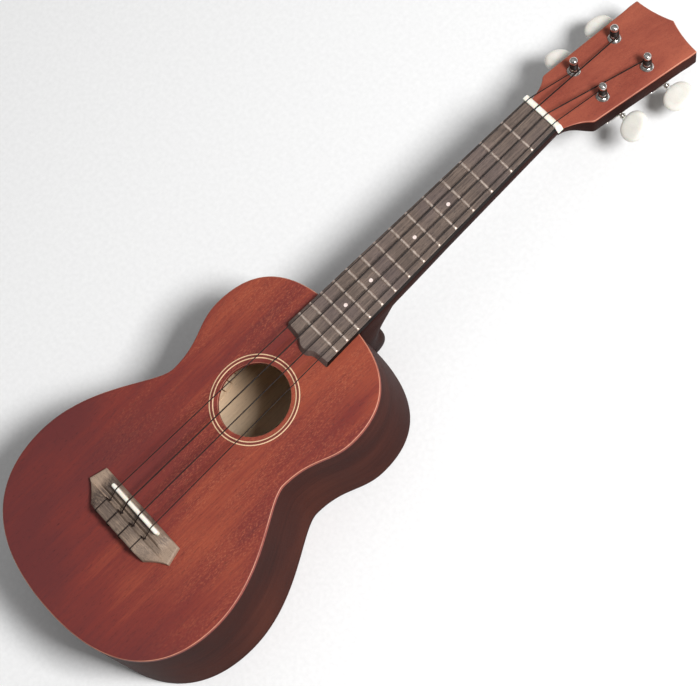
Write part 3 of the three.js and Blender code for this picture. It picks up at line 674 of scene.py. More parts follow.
def make_lining(name, glued, deep, node):
    """A strip in the corner of the sides and a plate, sawn nearly through every few millimetres to bend."""
    pitch, saw, web, taper_depth = 6.0, 0.9, 1.0, 2.4
    total = OUTLINE_LENGTH[-1]
    cuts = int(total / pitch)
    places, insets = [], []
    for cut in range(cuts):
        centre = (cut + 0.5) * total / cuts
        places += [centre - saw / 2, centre - saw / 2, centre + saw / 2, centre + saw / 2]
        insets += [LINING_WIDTH, web, web, LINING_WIDTH]
    insets = np.array(insets)
    wall_inside = OUTLINE - OUTLINE_NORMALS * SIDE_THICKNESS
    base, normal = (np.column_stack([np.interp(places, OUTLINE_LENGTH, line[:, i]) for i in range(2)])
                    for line in (wall_inside, OUTLINE_NORMALS))
    wall = base - normal * JOIN_GAP
    taper = (insets - web) / (LINING_WIDTH - web)
    inner = base - normal * insets[:, None]
    inner_deep = base - normal * (insets - taper_depth * taper)[:, None]
    shelf = glued + (deep - glued) * 0.45
    rings = [level(wall, glued), level(inner, glued), level(inner, shelf), level(inner_deep, deep),
             level(wall, deep)]
    vertices, faces = np.concatenate(rings), strips(len(rings), len(places), closed=True)
    make_piece(name, vertices, faces, "bare", "bare_wood", replaces=[node], crease=20)


def dress_inner_parts():
    """The hidden wood keeps its CAD shape and gets a material."""
    looks = {"neck_block": "bare", "tail_block": "bare", "bridge_plate": "bare_across",
             "top_brace_upper": "bare_across", "top_brace_lower": "bare_across",
             "back_brace_upper": "bare_across", "back_brace_lower": "bare_across"}
    for node, look in looks.items():
        materials = frame["nodes"][node].data.materials
        materials.clear()
        materials.append(LOOKS[look])


# ---------------------------------------------------------------- neck and head
HALF_RING = 25  # points on the face of a neck section, and again on its back
CORNER = 4  # points on each rounded corner
HEAD_BACK_EDGE = 1.4
HEAD_ALONG = Vector((0, POST_AXIS.z, -POST_AXIS.y))
HEAD_ORIGIN = Vector((0, LOWER_POST.y, LOWER_POST.z)) - HEAD_ALONG * LOWER_POST_ALONG_HEAD


def head_point(x, y, z):
    """A point given in the head's own frame: y along its face from the nut, z out of the face."""
    return Vector((x, 0, 0)) + HEAD_ORIGIN + HEAD_ALONG * y + POST_AXIS * z


def face_points(half_width, edge):
    """(x, depth) of a flat face from -x to +x, with rounded edges."""
    arc = [(half_width - edge * (1 - math.sin(a)), edge * (1 - math.cos(a)))
           for a in np.linspace(math.pi / 2, 0, CORNER)]
    middle = np.linspace(-(half_width - edge), half_width - edge, HALF_RING - 2 * (CORNER - 1))[1:-1]
    left = [(-x, depth) for x, depth in arc]
    return np.array(left + [(x, 0) for x in middle] + arc[::-1])


def u_section(half_width, depth, fullness):
    """A flat face and a rounded back."""
    angles = math.pi * (np.arange(HALF_RING) + 0.5) / HALF_RING
    x = half_width * np.sign(np.cos(angles)) * np.abs(np.cos(angles)) ** (2 / fullness)
    back = np.column_stack([x, depth * np.sin(angles) ** (2 / fullness)])
    return np.concatenate([face_points(half_width, 0.12), back])


def slab_section(half_width, depth, edge, back_edge=HEAD_BACK_EDGE):
    """A flat face and a flat back, both with rounded edges."""
    back = face_points(half_width, back_edge)[::-1] * (1, -1) + (0, depth)
    return np.concatenate([face_points(half_width, edge), back])


def section_ring(section, top, keel_direction):
    """A section of (x, depth) points placed with its face at top and its depth along keel_direction."""
    x = np.outer(section[:, 0], (1, 0, 0))
    return x + np.outer(section[:, 1], keel_direction) + np.asarray(top, float)


def half_width_at(y):
    """Half the fretboard's width at y."""
    widest = (BOARD_HIGH.x - BOARD_LOW.x) / 2
    share = (NUT_LOW.y - y) / (NUT_LOW.y - BOARD_WIDEST_Y)
    return BOARD_HALF_AT_NUT + (widest - BOARD_HALF_AT_NUT) * share


def heel_and_shaft():
    """Sections from the heel's foot, round its curve and along the neck to the nut."""
    inside = BODY_HIGH.y - 2.6
    heel = [  # face y, face z, keel y, keel z, half width, fullness
        (inside, 1.2, -10.5, 1.6, 1.6, 2.0), (inside, 2.2, -6.4, 2.3, 3.4, 2.1),
        (inside, 4, -3.0, 3.9, 5.4, 2.4), (inside, 7, -1.0, 6.9, 7.6, 2.7),
        (inside, 12, 0.2, 12, 9.6, 2.9), (inside, 18, 0.4, 18, 11.2, 3.0),
        (inside, 23, -0.1, 23, 12.2, 3.0), (inside, 29, -1.4, 28.8, 13.6, 2.9),
        (inside, 35, -0.9, 34, 15.0, 2.7), (inside, 41, 3.4, 39.6, 16.4, 2.5),
        (inside, 48, 11, 44.4, 17.4, 2.4), (inside, 56, 20, 47.9, 18.1, 2.4),
        (inside, 64, 27, 49.8, 18.4, 2.4),
        (-6, NECK_TOP, 33, 50.9, half_width_at(-6), 2.4), (8, NECK_TOP, 40, 51.4, half_width_at(8), 2.45),
        (24, NECK_TOP, 47, 51.7, half_width_at(24), 2.5), (42, NECK_TOP, 56, 51.9, half_width_at(42), 2.5),
    ]
    for y in (66, 84, 102, 120, 138, 152, NUT_LOW.y - 0.1):
        depth = NECK_DEPTH + 2.4 * (NUT_LOW.y - y) / 173
        heel.append((y, NECK_TOP, y, NECK_TOP - depth, half_width_at(y), 2.5))
    rings = []
    for face_y, face_z, keel_y, keel_z, half_width, fullness in smooth_path(heel, 4):
        reach = np.array([0, keel_y - face_y, keel_z - face_z])
        depth = np.linalg.norm(reach)
        section = u_section(half_width, depth, fullness)
        rings.append(section_ring(section, (0, face_y, face_z), reach / depth))
    return rings


def nut_seat():
    """Two sections under the nut, which sits lower than the fretboard's face."""
    rings = []
    for share in (0.03, 0.5):
        top = np.array([0, NUT_LOW.y + 4.2 * share, NUT_LOW.z])
        keel = np.array([0, NUT_LOW.y + 0.9 * share, NECK_TOP - NECK_DEPTH - 0.05])
        reach = keel - top
        depth = np.linalg.norm(reach)
        section = u_section(BOARD_HALF_AT_NUT + 0.6 * share, depth, 2.5)
        rings.append(section_ring(section, top, reach / depth))
    return rings


def head_sections():
    """Sections from the nut to the crown. The neck's round back turns into the head's flat one."""
    edge, down = 0.9, -POST_AXIS
    throat_start, throat_end, turn_length = (14.8, 1.4), (23, 18), 17
    throat = np.concatenate([bezier([throat_start, (17.6, 12.5), throat_end], np.linspace(0, 1, 14)),
                             bezier([throat_end, (23.9, 19), SHOULDER], np.linspace(0, 1, 5))[1:]])
    straight = [np.array(SHOULDER) * (1 - share) + np.array(HEAD_CORNER) * share
                for share in (0.1, 0.35, 0.6, 0.85)]
    rings = []
    for half_width, y in [*throat, *straight]:
        share = ramp_up(y, throat_start[1], throat_start[1] + turn_length)
        share = share * share * (3 - 2 * share)
        neck = u_section(half_width, HEAD_THICKNESS, 2.5)
        flat = slab_section(half_width, HEAD_THICKNESS, edge)
        section = neck * (1 - share) + flat * share
        rings.append(section_ring(section, head_point(0, y, 0), down))
    crown = bezier([HEAD_CORNER, (13.2, 102.8), (0, HEAD_LENGTH)], np.linspace(0, 1, 60))
    crown_start, least_edge = 96.0, 0.05

    def crown_ring(share, inset, back):
        """A section share of the way to the crown's curve, made smaller by inset and moved back."""
        edges = [max(full - inset, least_edge) for full in (edge, HEAD_BACK_EDGE)]
        section = slab_section(HEAD_CORNER[0] - inset, HEAD_THICKNESS - 2 * inset, *edges) + (0, inset)
        end = np.interp(np.abs(section[:, 0]), crown[::-1, 0], crown[::-1, 1]) - back
        ring = section_ring(section, head_point(0, 0, 0), down)
        return ring + np.outer(crown_start + share * (end - crown_start), HEAD_ALONG)

    rings += [crown_ring(share, 0, edge) for share in (0.0, 0.3, 0.6, 0.85, 1.0)]
    rings += [crown_ring(1, inset, drop) for drop, inset in rounding(edge, 3)[1:]]
    return rings


def make_neck():
    """Neck, heel and head from one piece of wood: near black all over, which paints their shade, with the
    head's face left red.
    """
    shaft, head = [*heel_and_shaft(), *nut_seat()], head_sections()
    rings = [*shaft, *head]
    vertices, faces = loft(rings, capped=False)
    size = 2 * HALF_RING
    for base in (0, (len(rings) - 1) * size):
        for i in range(HALF_RING - 1):
            across = base + size - 1 - i
            faces.append((base + i, base + i + 1, across - 1, across))
    piece = make_piece("neck_and_head", vertices, faces, ["neck", "head"], "mahogany", replaces=["neck"],
                       crease=40)
    for ring in range(len(shaft), len(rings) - 1):
        for face in piece.data.polygons[ring * size:ring * size + HALF_RING - 1]:
            face.material_index = 1


# ---------------------------------------------------------------- fretboard, frets, nut
def make_fretboard():
    """A board with a curved point at the body end, where its upper edge slopes back."""
    point_length, end_slope = 4.6, 2.8
    y = BOARD_LOW.y + point_length
    brow, flank = (9.3, y - 0.8), (4.6, y - 3.2)
    steps = np.linspace(0, 1, 7)
    middle = np.concatenate([bezier([brow, (6.6, y - 1.2), flank], steps),
                             bezier([flank, (2.6, y - point_length), (0, y - point_length)], steps)[1:]])
    right = [(BOARD_HALF_AT_NUT, NUT_LOW.y - 0.05), (half_width_at(y), y), *map(tuple, middle)]
    left = [(-x, v) for x, v in right[-2::-1]]
    vertices, faces = prism(right + left, BODY_TOP, BOARD_HIGH.z)
    on_end = (vertices[:, 2] > BOARD_HIGH.z - 0.1) & (vertices[:, 1] < y + 1)
    vertices[on_end, 1] += end_slope
    piece = make_piece("fretboard_wood", vertices, faces, ["fretboard", "board_side"], "rosewood",
                       replaces=["fretboard"], crease=25)
    # Faces on the long sides take the near-black look, which paints their shade.
    for face in piece.data.polygons:
        on_long_side = abs(face.normal.x) > 0.9
        face.material_index = int(on_long_side)
    add_bevel(piece, 0.35)


def make_frets():
    """Half-round wires on the board, dressed down towards their ends."""
    for number in range(1, 15):
        node = f"fret_{number:02d}"
        low, high = node_box(node)
        half, y, base = high.x, (low.y + high.y) / 2, BOARD_HIGH.z - 0.15
        radius = (high.y - low.y) / 2
        angles = np.linspace(0, math.pi, 11)
        rings = []
        for inset, share in ((0, 0.2), (0.15, 0.55), (0.4, 0.84), (0.7, 0.97), (1.0, 1.0)):
            height = (high.z - BOARD_HIGH.z) * share
            width = radius * (0.8 + 0.2 * share)
            section = [(y + width * math.cos(a), BOARD_HIGH.z + height * math.sin(a)) for a in angles]
            section += [(y - width, base), (y + width, base)]
            rings.append([(-half + inset, *point) for point in section])
        rings += [[(-x, *point) for x, *point in ring] for ring in rings[::-1]]
        shell = loft([np.array(ring) for ring in rings])
        make_piece(f"{node}_wire", *shell, "nickel", "fret_wire", replaces=[node])


def make_dots():
    """Position dots on the board, each midway between two frets."""
    profile = [(0, -1), (1.3, -1), (1.3, 0), (1.24, 0.05), (0, 0.07)]
    for number in DOTTED_FRETS:
        here, before = (sum(node_box(f"fret_{n:02d}")[i].y for i in (0, 1)) / 2 for n in (number, number - 1))
        shell = placed(lathe(profile, 40), Matrix.Translation((0, (here + before) / 2, BOARD_HIGH.z)))
        make_piece(f"position_dot_{number:02d}", *shell, "pearl", "ivory")


def make_nut():
    """A bar of sections along x, with a round-bottomed slot for each string."""
    front, rear, top, bottom = NUT_LOW.y, NUT_HIGH.y, NUT_HIGH.z, NUT_LOW.z + 0.05
    crest = bezier([(front, top - 0.9), (front, top + 0.15), (front + 1.8, top + 0.15),
                    (rear - 0.6, top - 0.3), (rear, top - 2.4)], np.linspace(0, 1, 15))
    profile = np.concatenate([[(front, bottom)], crest, [(rear, bottom)]])
    profile[:, 1] = np.minimum(profile[:, 1], top)
    half = NUT_HIGH.x
    # how far the top drops at each x of a section, and how high a slot's floor is there
    stations = {-half: 0.6, -half + 0.2: 0.2, -half + 0.6: 0.0, half - 0.6: 0.0, half - 0.2: 0.2, half: 0.6}
    floors = {}
    for string in STRINGS.values():
        width = string["radius"] + 0.06
        for share in (-1.08, -1, -0.8, -0.5, 0, 0.5, 0.8, 1, 1.08):
            x = string["nut_x"] + share * width
            stations[x] = 0.0
            if abs(share) <= 1:
                floors[x] = NUT_SLOT_Z + width - width * math.sqrt(1 - share * share)
    rings = []
    for x in sorted(stations):
        section = profile.copy()
        section[:, 1] = np.minimum(section[:, 1], top - stations[x])
        if x in floors:
            section[:, 1] = np.minimum(section[:, 1], floors[x])
        rings.append(np.column_stack([np.full(len(section), x), section]))
    make_piece("nut_bone", *loft(rings), "ivory", "ivory", replaces=["nut"])


# ---------------------------------------------------------------- bridge and saddle
def bridge_edge(y):
    """Half the bridge's width at y: its ends come to a tip between the front and the rear."""
    tip, front_half, rear_half, sag = (BRIDGE_HIGH.x, -194.6), 37, 26.5, 3
    if y >= tip[1]:
        return tip[0] + (front_half - tip[0]) * (y - tip[1]) / (BRIDGE_HIGH.y - tip[1])
    middle = ((rear_half + tip[0]) / 2, tip[1] - sag)
    curve = bezier([(rear_half, BRIDGE_LOW.y), middle, tip], np.linspace(0, 1, 40))
    return float(np.interp(y, curve[:, 1], curve[:, 0]))


def ramp_up(value, start, end):
    """0 at start, 1 at end, in a straight line, and flat outside."""
    return min(max((value - start) / (end - start), 0), 1)


def bridge_height(x, y):
    """Height of the bridge's top above the soundboard: low wings, a saddle block and a tie block."""
    x, front = abs(x), BRIDGE_HIGH.y
    wing, saddle_rise, tie_rise = 3.0, 2.2, 5.4
    in_front = min(ramp_up(y, front, front - 1.6), ramp_up(y, front - 9.6, front - 8))
    tie_reach = 27 + (38.5 - 27) * ramp_up(y, BRIDGE_LOW.y, TIE_FRONT_Y)
    in_rear = ramp_up(y, TIE_FRONT_Y, TIE_FRONT_Y - 0.5)
    saddle_block = saddle_rise * min(ramp_up(x, 31, 25.5), in_front)
    tie_block = tie_rise * min(ramp_up(x, tie_reach, 20), in_rear)
    return wing + max(saddle_block, tie_block)


def make_bridge():
    """A grid of heights with rounded edges, closed by a rim and a flat base, then slot and holes cut out."""
    front, rear = BRIDGE_HIGH.y, BRIDGE_LOW.y
    insets = [0, 0.15, 0.45, 0.9]
    drops = insets[::-1]
    breaks = [rear + offset for offset in (*insets, 2.5, 5, 7.5)]
    breaks += [TIE_FRONT_Y + offset for offset in (-0.9, -0.5, -0.35, 0, 0.4)]
    breaks += [front - offset for offset in (9.9, 9.6, 9.2, 8.4, 8, 7.5, 5.5, 3.5, 2.1, 1.6, *insets[::-1])]
    shares = np.concatenate([-np.linspace(1, 0, 31)[:-1], np.linspace(0, 1, 31)])
    rows = []
    for row, y in enumerate(breaks):
        edge = bridge_edge(y)
        rows_in = min(row, len(breaks) - 1 - row)
        end_drop = drops[rows_in] if rows_in < len(drops) else 0
        inner = edge - insets[-1]
        xs = [-(edge - i) for i in insets[:-1]] + list(inner * shares) + [edge - i for i in insets[-2::-1]]
        side_drops = drops[:-1] + [0] * len(shares) + drops[-2::-1]
        rows.append([(x, y, BODY_TOP + bridge_height(x, y) - max(end_drop, side))
                     for x, side in zip(xs, side_drops)])
    rows = np.array(rows)
    count, size = rows.shape[:2]
    faces = [(r * size + i, r * size + i + 1, (r + 1) * size + i + 1, (r + 1) * size + i)
             for r in range(count - 1) for i in range(size - 1)]
    rim = [*range(size)] + [r * size + size - 1 for r in range(1, count)]
    rim += [(count - 1) * size + i for i in range(size - 2, -1, -1)]
    rim += [r * size for r in range(count - 2, 0, -1)]
    top = rows.reshape(-1, 3)
    base = top[rim] * (1, 1, 0) + (0, 0, BODY_TOP)
    start = len(top)
    for i in range(len(rim)):
        j = (i + 1) % len(rim)
        faces.append((rim[i], rim[j], start + j, start + i))
    faces.append(tuple(range(start, start + len(rim))))
    piece = make_piece("bridge_wood", np.concatenate([top, base]), faces, "bridge", "rosewood",
                       replaces=["bridge"], crease=32)
    slot_floor, well_above, hole_radius, half_hole = BODY_TOP + 2.6, BODY_TOP + 20, 0.95, 8
    slot = prism(stadium(SADDLE_HIGH.x + 0.15, 1.55, saddle_y()), slot_floor, well_above)
    drill = lathe([(0, -half_hole), (hole_radius, -half_hole), (hole_radius, half_hole), (0, half_hole)], 20)
    holes = [placed(drill, Matrix.Translation((string["saddle_x"], (TIE_FRONT_Y + rear) / 2, STRING_HOLE_Z))
                    @ Matrix.Rotation(math.pi / 2, 4, "X")) for string in STRINGS.values()]
    carve(piece, join(slot, *holes))


def carve(piece, shell):
    """Cuts a shell out of a piece."""
    cutter = add_object("cutter", new_mesh("cutter", *shell))
    modifier = piece.modifiers.new("carve", "BOOLEAN")
    modifier.object = cutter
    modifier.operation = "DIFFERENCE"
    modifier.solver = "EXACT"
    graph = bpy.context.evaluated_depsgraph_get()
    carved = bpy.data.meshes.new_from_object(piece.evaluated_get(graph))
    piece.modifiers.remove(modifier)
    piece.data = carved
    carved.set_sharp_from_angle(angle=math.radians(32))
    bpy.data.objects.remove(cutter)


def saddle_y():
    return (SADDLE_LOW.y + SADDLE_HIGH.y) / 2


def stadium(half_length, half_width, y, steps=10):
    """Outline of a bar with round ends, along x."""
    angles = np.linspace(-math.pi / 2, math.pi / 2, steps)
    right = [(half_length - half_width + half_width * math.cos(a), y + half_width * math.sin(a))
             for a in angles]
    return right + [(-x, 2 * y - v) for x, v in right]


def make_saddle():
    half_width = (SADDLE_HIGH.y - SADDLE_LOW.y) / 2
    height, crest = 6.9, 1.0
    rings = [level(stadium(SADDLE_HIGH.x - inset, half_width - inset, saddle_y()), SADDLE_HIGH.z - drop)
             for inset, drop in [(0, height), *rounding(crest, 5)]]
    make_piece("saddle_bone", *loft(rings), "ivory", "ivory", replaces=["saddle"])


# ---------------------------------------------------------------- strings
def tuner_place(name):
    """The side (1 or -1) a tuner is on, and its place across and along the head."""
    place = Vector(JOINTS[f"post_{name}_turn"]["pos_m"]) / MM
    along_head = (place - HEAD_ORIGIN).dot(HEAD_ALONG)
    return math.copysign(1, place.x), abs(place.x), along_head


POST_WAIST = 2.1
WINDING_LOW = 4.0  # heights above the head's face
WINDING_HIGH = 8.0


def make_strings():
    """Each string from its loop over the tie block, over the saddle and the nut, to its post."""
    rear, front, top, slot_z = BRIDGE_LOW.y, TIE_FRONT_Y, BODY_TOP + 8.4, NUT_SLOT_Z
    for node, string in STRINGS.items():
        side, across, along_head = tuner_place(string["tuner"])
        radius, x, nut_x = string["radius"], string["saddle_x"], string["nut_x"]
        over, gap = top + radius, 1.15 * radius
        before, hole_z = front + radius, STRING_HOLE_Z
        tie = [
            (-2.6, before + 0.1, hole_z + 1.7), (-1.2, before + 0.1, hole_z - 0.3),
            (0.1, before + 0.7, hole_z - 2.1 * radius), (gap, before + 1.0, hole_z + 0.3),
            (0.1, before + 0.8, hole_z + 2.2 * radius), (-gap, before + 0.1, top - 1.4),
            (-gap, before, top - 0.6), (-gap, front - 0.6, over), (-gap, front - 3, over),
            (-gap, rear + 0.9, over), (-gap, rear - 0.5 * radius, top - 0.1),
            (-0.7 * gap, rear - radius, top - 1.2), (0, rear - radius - 0.1, hole_z + 0.9),
            (0, rear - 0.1, hole_z), (0, rear + 1.5, hole_z), (0, front, hole_z),
        ]
        saddle_top = SADDLE_HIGH.z + radius - 0.03
        run = [
            (x, front + 1.2, hole_z + 0.25), (x, SADDLE_LOW.y - 0.15, saddle_top - 0.9),
            (x, saddle_y() - 0.2, saddle_top), (x, SADDLE_HIGH.y + 0.3, saddle_top - 0.02),
            (nut_x, NUT_LOW.y + 0.1, slot_z + radius), (nut_x, NUT_LOW.y + 2.4, slot_z + radius - 0.05),
            (nut_x, NUT_HIGH.y + 0.2, slot_z + radius - 0.75),
            head_point(side * (across - POST_WAIST - radius), along_head, WINDING_LOW),
        ]
        knot = smooth_path([(x + dx, y, z) for dx, y, z in tie], 5)
        path = np.concatenate([knot, rounded_path(run, 1.2)])
        make_piece(f"{node}_cord", *tube(path, radius), "nylon", "nylon", replaces=[node], crease=80)


def make_windings():
    """The turns of each string round its post. They turn with the post, and their top end goes into it."""
    steps_per_turn, end_turn, end_radius, end_rise = 28, 0.14, 1.2, 0.4
    for string in STRINGS.values():
        name, radius = string["tuner"], string["radius"]
        side, across, along_head = tuner_place(name)
        inner_side = math.pi if side > 0 else 0

        def on_post(turn, out, rise):
            """A point so many turns on from the post's inner side, out from its axis."""
            angle = inner_side - side * turn * 2 * math.pi
            return head_point(side * across + out * math.cos(angle), along_head + out * math.sin(angle), rise)

        pitch = 2 * radius + 0.04
        turns = math.floor((WINDING_HIGH - WINDING_LOW) / pitch) + 0.25
        steps = int(turns * steps_per_turn)
        points = []
        for i in range(steps + 1):
            turn = i / steps * turns
            points.append(on_post(turn, POST_WAIST + radius - 0.02, WINDING_LOW + turn * pitch))
        points.append(on_post(turns + end_turn, end_radius, WINDING_HIGH + end_rise))
        make_piece(f"winding_{name}", *tube(points, radius, 12), "nylon", "nylon",
                   body=f"string_post_{name}", crease=80)


# ---------------------------------------------------------------- tuners
# In a tuner's own frame, x runs out of the head's side, y along the head (turned with the side), and z
# out of its face along the post.
POST_FOOT = -19
GEAR_TEETH = 14
GEAR_MODULE = 0.7
GEAR_TOP = -14.4
GEAR_HEIGHT = 4.0
WORM_PITCH_RADIUS = 2.2
WORM_CORE = 1.45
THREAD_PITCH = math.pi * GEAR_MODULE
GEAR_PITCH_RADIUS = GEAR_TEETH * GEAR_MODULE / 2
WORM_OFFSET = GEAR_PITCH_RADIUS + WORM_PITCH_RADIUS
WORM_Z = GEAR_TOP - GEAR_HEIGHT / 2
BUTTON_X = 21.5
BUTTON_TURNS = {"g": -17, "c": 3, "e": 20, "a": 42}  # degrees about the shaft, at rest


def post_shell():
    """The whole post: its foot under the gear, its bearing, a waist for the string and a round cap."""
    profile = [
        (0, POST_FOOT), (1.55, POST_FOOT), (1.8, POST_FOOT + 0.25), (1.8, -14.3), (2.5, -14.2), (2.5, 2.9),
        (2.42, 3.2), (2.15, 3.5), (POST_WAIST, 3.8), (POST_WAIST, 8.3), (2.25, 8.6), (2.5, 8.85),
        (2.66, 9.1), (2.7, 9.4), (2.7, 10.6),
        (2.63, 11.0), (2.42, 11.5), (2.05, 11.95), (1.5, 12.25), (0.85, 12.44), (0, 12.5),
    ]
    return lathe(profile, 40)


def bushing_shell():
    """A ring pressed into the head's face, with a domed collar."""
    profile = [
        (2.8, -6), (3.5, -6), (3.5, 0.04), (4.45, 0.04), (4.58, 0.12), (4.6, 0.3), (4.55, 0.55), (4.35, 0.85),
        (4.0, 1.15), (3.75, 1.45), (3.5, 1.7), (3.2, 1.85), (2.95, 1.9), (2.82, 1.82), (2.8, 1.6),
    ]
    return lathe(profile, 56, ring=True)


def screw_shell(radius, height):
    """A screw's round head on z = 0, and the shell of the slot to cut into it."""
    dome = lathe([(0, -2), (radius * 0.5, -2), (radius * 0.5, 0), (radius, 0), (radius, height * 0.35),
                  (radius * 0.8, height * 0.8), (radius * 0.45, height), (0, height)], 28)
    half_slot = 0.16
    slot = prism([(-radius, -half_slot), (radius, -half_slot), (radius, half_slot), (-radius, half_slot)],
                 height * 0.45, height + 1)
    return dome, slot


def gear_shell():
    """A gear whose teeth lean along the worm's thread."""
    outer, root, bore, chamfer = 5.3, 4.05, 1.85, 0.15
    lead = THREAD_PITCH / (2 * math.pi * WORM_PITCH_RADIUS) / GEAR_PITCH_RADIUS
    outline = []
    for tooth in range(GEAR_TEETH):
        centre = math.pi / 2 + (tooth + 0.5) * 2 * math.pi / GEAR_TEETH
        for radius, angle in ((root, -0.16), (root + 0.12, -0.135), (outer - 0.1, -0.075), (outer, -0.05),
                              (outer, 0.05), (outer - 0.1, 0.075), (root + 0.12, 0.135), (root, 0.16)):
            outline.append((radius, centre + angle))
    radii, angles = np.array(outline).T
    bottom = GEAR_TOP - GEAR_HEIGHT
    rings = []
    for z, inset in ((bottom, chamfer), (bottom + chamfer, 0), (WORM_Z, 0), (GEAR_TOP - chamfer, 0),
                     (GEAR_TOP, chamfer)):
        turn = angles + lead * (z - WORM_Z)
        radius = np.minimum(radii, outer - inset)
        rings.append(level(np.column_stack([radius * np.cos(turn), radius * np.sin(turn)]), z))
    for z in (GEAR_TOP, bottom):
        rings.append(level(np.column_stack([bore * np.cos(angles), bore * np.sin(angles)]), z))
    return np.concatenate(rings), strips(len(rings), len(angles), closed=True)


def turned_along_x(profile, y, z, segments=32):
    """A profile of (radius, x) turned about a line along x through (y, z)."""
    turn = Matrix.Rotation(math.pi / 2, 4, "Y")
    return placed(lathe(profile, segments), Matrix.Translation((0, y, z)) @ turn)


def worm_shell(side):
    """A thread that fades out at both ends, wound round a rod with a collar."""
    y = side * WORM_OFFSET
    facing = math.pi if side > 0 else 0
    steps_per_turn, half_thread, fade_steps, base = 30, 4.4, 8, 1.1
    steps = round(half_thread / THREAD_PITCH * steps_per_turn)
    rings = []
    for i in range(-steps, steps + 1):
        angle = 2 * math.pi * i / steps_per_turn + facing
        fade = min(1, (steps - abs(i)) / fade_steps)
        crest, shoulder = base + 1.5 * fade, base + 1.42 * fade
        section = [(-0.5, base), (-0.28, shoulder), (-0.17, crest),
                   (0.17, crest), (0.28, shoulder), (0.5, base)]
        rings.append(np.array([(THREAD_PITCH * i / steps_per_turn + x, y + r * math.cos(angle),
                                WORM_Z + r * math.sin(angle)) for x, r in section]))
    rod = [(0, -7.2), (1.25, -7.2), (WORM_CORE, -7), (WORM_CORE, 5.2), (1.5, 5.4), (1.5, 10.3), (1.9, 10.35),
           (2.25, 10.65), (2.3, 10.9), (2.3, 11.1), (2.2, 11.4), (1.9, 11.65), (1.5, 11.7), (1.5, 19.3),
           (0, 19.4)]
    return join(loft(rings), turned_along_x(rod, y, WORM_Z))


def button_shell(side, turn):
    """A thick oval with soft edges, turned about its shaft, and the neck that joins it to the shaft."""
    half_width, half_length, half_thickness, squareness, flatness, points = 8.4, 10.4, 3.2, 2.15, 7, 72
    place = Matrix.Translation((BUTTON_X, side * WORM_OFFSET, WORM_Z))
    turned = place @ Matrix.Rotation(side * math.radians(turn), 4, "X")
    angles = np.arange(points) * 2 * math.pi / points
    outline = np.column_stack([np.cos(angles), np.sin(angles)])
    outline = np.sign(outline) * np.abs(outline) ** (2 / squareness)
    upper = [(share, half_thickness * (1 - share ** flatness) ** 0.5)
             for share in (0.05, 0.3, 0.55, 0.7, 0.8, 0.87, 0.92, 0.96, 0.985, 1.0)]
    lower = [(share, -height) for share, height in upper[-2::-1]]
    rings = [level(outline * (half_width * share, half_length * share), height)
             for share, height in upper + lower]
    neck = [(0, 12.7), (1.9, 12.7), (2.15, 12.9), (2.25, 13.3), (2.4, 14), (2.6, 15), (2.6, 18), (0, 18.2)]
    return join(placed(loft(rings), turned), turned_along_x(neck, side * WORM_OFFSET, WORM_Z, 36))


def rounded_rectangle(x0, x1, y0, y1, radius, steps=5):
    corners = [(x1 - radius, y1 - radius, 0), (x0 + radius, y1 - radius, 90),
               (x0 + radius, y0 + radius, 180), (x1 - radius, y0 + radius, 270)]
    return [(x + radius * math.cos(math.radians(a)), y + radius * math.sin(math.radians(a)))
            for x, y, start in corners for a in np.linspace(start, start + 90, steps)]


PLATE_TOP = -11.8
SHEET = 1.2  # the plate's thickness


def plate_shells(side):
    """The base plate on the head's back, and the two ears that hold the worm."""
    inner, outer, corner, ear, ear_places = -6.5, 10.8, 1.8, 2.7, (-6.5, 6.6)
    near, far = sorted((side * -6.6, side * 10.6))
    base = prism(rounded_rectangle(inner, outer, near, far, corner), PLATE_TOP - SHEET, PLATE_TOP)
    centre = -side * WORM_OFFSET
    outline = [(centre - ear, PLATE_TOP - 0.4), (centre + ear, PLATE_TOP - 0.4)]
    outline += [(centre + ear * math.cos(a), WORM_Z - 0.5 - ear * math.sin(a))
                for a in np.linspace(0, math.pi, 13)]
    upright = Matrix(((0, 0, 1, 0), (-1, 0, 0, 0), (0, 1, 0, 0), (0, 0, 0, 1)))
    return [base, *(placed(prism(outline, x, x + SHEET), upright) for x in ear_places)]


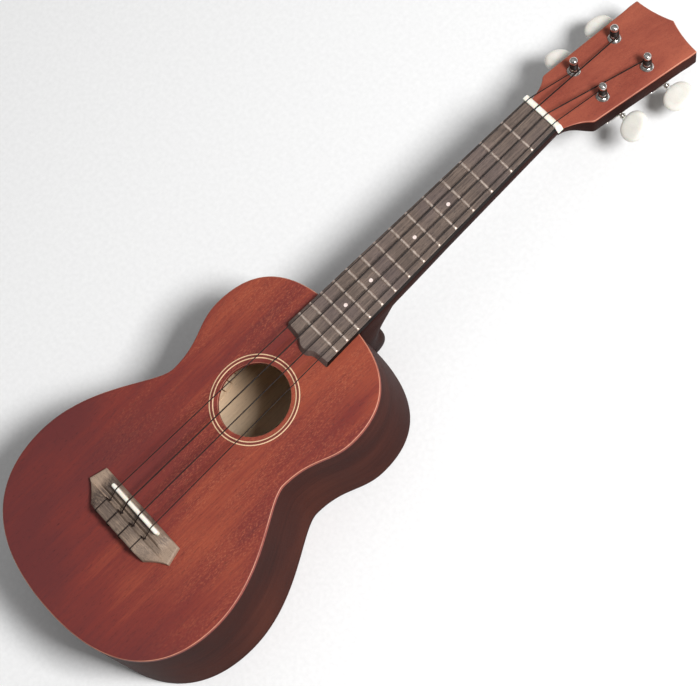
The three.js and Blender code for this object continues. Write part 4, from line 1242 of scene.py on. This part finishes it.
def make_tuners():
    for name in TUNER_NAMES:
        side, across, along_head = tuner_place(name)
        basis = Matrix((Vector((side, 0, 0)), side * HEAD_ALONG, POST_AXIS)).transposed().to_4x4()
        tuner = Matrix.Translation(head_point(side * across, along_head, 0)) @ basis

        def add(piece, shell, look, slot, body, node, **shading):
            return make_piece(piece, *placed(shell, tuner), look, slot, body, [node], **shading)

        def add_screw(piece, radius, height, place, turn, body="root"):
            """A slotted screw that looks out of the head's back."""
            flip = Matrix.Rotation(math.pi, 4, "X")
            move = Matrix.Translation(place) @ flip @ Matrix.Rotation(turn, 4, "Z")
            dome, slot = (placed(placed(shell, move), tuner) for shell in screw_shell(radius, height))
            carve(make_piece(piece, *dome, "chrome", "chrome", body), slot)

        post, knob = f"string_post_{name}", f"knob_{name}"
        add(f"post_{name}_turned", post_shell(), "chrome", "chrome", post, f"post_{name}")
        add(f"bushing_{name}_ring", bushing_shell(), "chrome", "chrome", "root", f"bushing_{name}")
        add(f"gear_{name}_cut", gear_shell(), "brass", "gear_brass", post, f"gear_{name}", crease=25)
        add(f"worm_{name}_cut", worm_shell(side), "chrome", "chrome", knob, f"worm_shaft_{name}")
        add(f"button_{name}_oval", button_shell(side, BUTTON_TURNS[name]), "button", "button_plastic", knob,
            f"button_{name}", crease=60)
        plate = add(f"plate_{name}_pressed", join(*plate_shells(side)), "chrome", "chrome", "root",
                    f"tuner_plate_{name}")
        add_bevel(plate, 0.25, 2)
        for number, (x, y) in enumerate([(-4.4, side * 8.6), (8.7, side * -4.5)], 1):
            add_screw(f"plate_screw_{name}_{number}", 1.5, 0.9, (x, y, PLATE_TOP - SHEET), 0.6 + number)
        add_screw(f"gear_screw_{name}", 1.7, 0.7, (0, 0, POST_FOOT), 0.4 + along_head, post)


# ---------------------------------------------------------------- studio
def make_floor():
    """A pale sheet of paper, just under the back so that the two don't lie in one plane."""
    half, drop = 3.0, 0.0004  # metres
    mesh = bpy.data.meshes.new("floor")
    corners = [(-half, -half, 0), (half, -half, 0), (half, half, 0), (-half, half, 0)]
    mesh.from_pydata(corners, [], [(0, 1, 2, 3)])
    look = Look("floor_paper", Roughness=0.9, Specular_IOR_Level=0.2)
    place = look.place()
    tooth = look.noise(place, (3, 3, 3), detail=3)
    look.finish(look.ramp(tooth, [(0.3, srgb(240, 240, 240)), (0.7, srgb(246, 246, 246))]), None, tooth, 0.02)
    mesh.materials.append(look.material)
    floor = add_object("floor", mesh)
    floor.location.z = -drop


def add_light(name, place, target, size, power):
    """A soft light that looks from a place at a target, in metres and watts."""
    data = bpy.data.lights.new(name, "AREA")
    data.shape = "RECTANGLE"
    data.size, data.size_y = size
    data.energy = power
    light = add_object(name, data)
    place = Vector(place)
    light.location = place
    light.rotation_mode = "QUATERNION"
    light.rotation_quaternion = (Vector(target) - place).to_track_quat("-Z", "Y")


def make_studio():
    make_floor()
    add_light("key", (1.336, 0.62, 1.72), (0, -0.08, 0.05), (0.55, 0.55), 58)
    add_light("overhead", (-0.5, 0.5, 2.4), (0, 0, 0), (2.4, 2.4), 5)
    world = bpy.data.worlds.new("studio")
    world.use_nodes = True
    background = world.node_tree.nodes["Background"].inputs
    background["Color"].default_value = (1, 1, 1, 1)
    background["Strength"].default_value = 0.22
    bpy.context.scene.world = world
    bpy.context.scene.view_settings.view_transform = "Standard"


make_camera()
make_soundboard()
make_rosette()
make_back()
make_sides()
make_lining("top_lining_kerfed", PLATE_UNDER - JOIN_GAP, PLATE_UNDER - LINING_HEIGHT, "top_lining")
make_lining("back_lining_kerfed", BACK_INSIDE + JOIN_GAP, BACK_INSIDE + LINING_HEIGHT, "back_lining")
dress_inner_parts()
make_neck()
make_fretboard()
make_frets()
make_dots()
make_nut()
make_bridge()
make_saddle()
make_strings()
make_windings()
make_tuners()
make_studio()
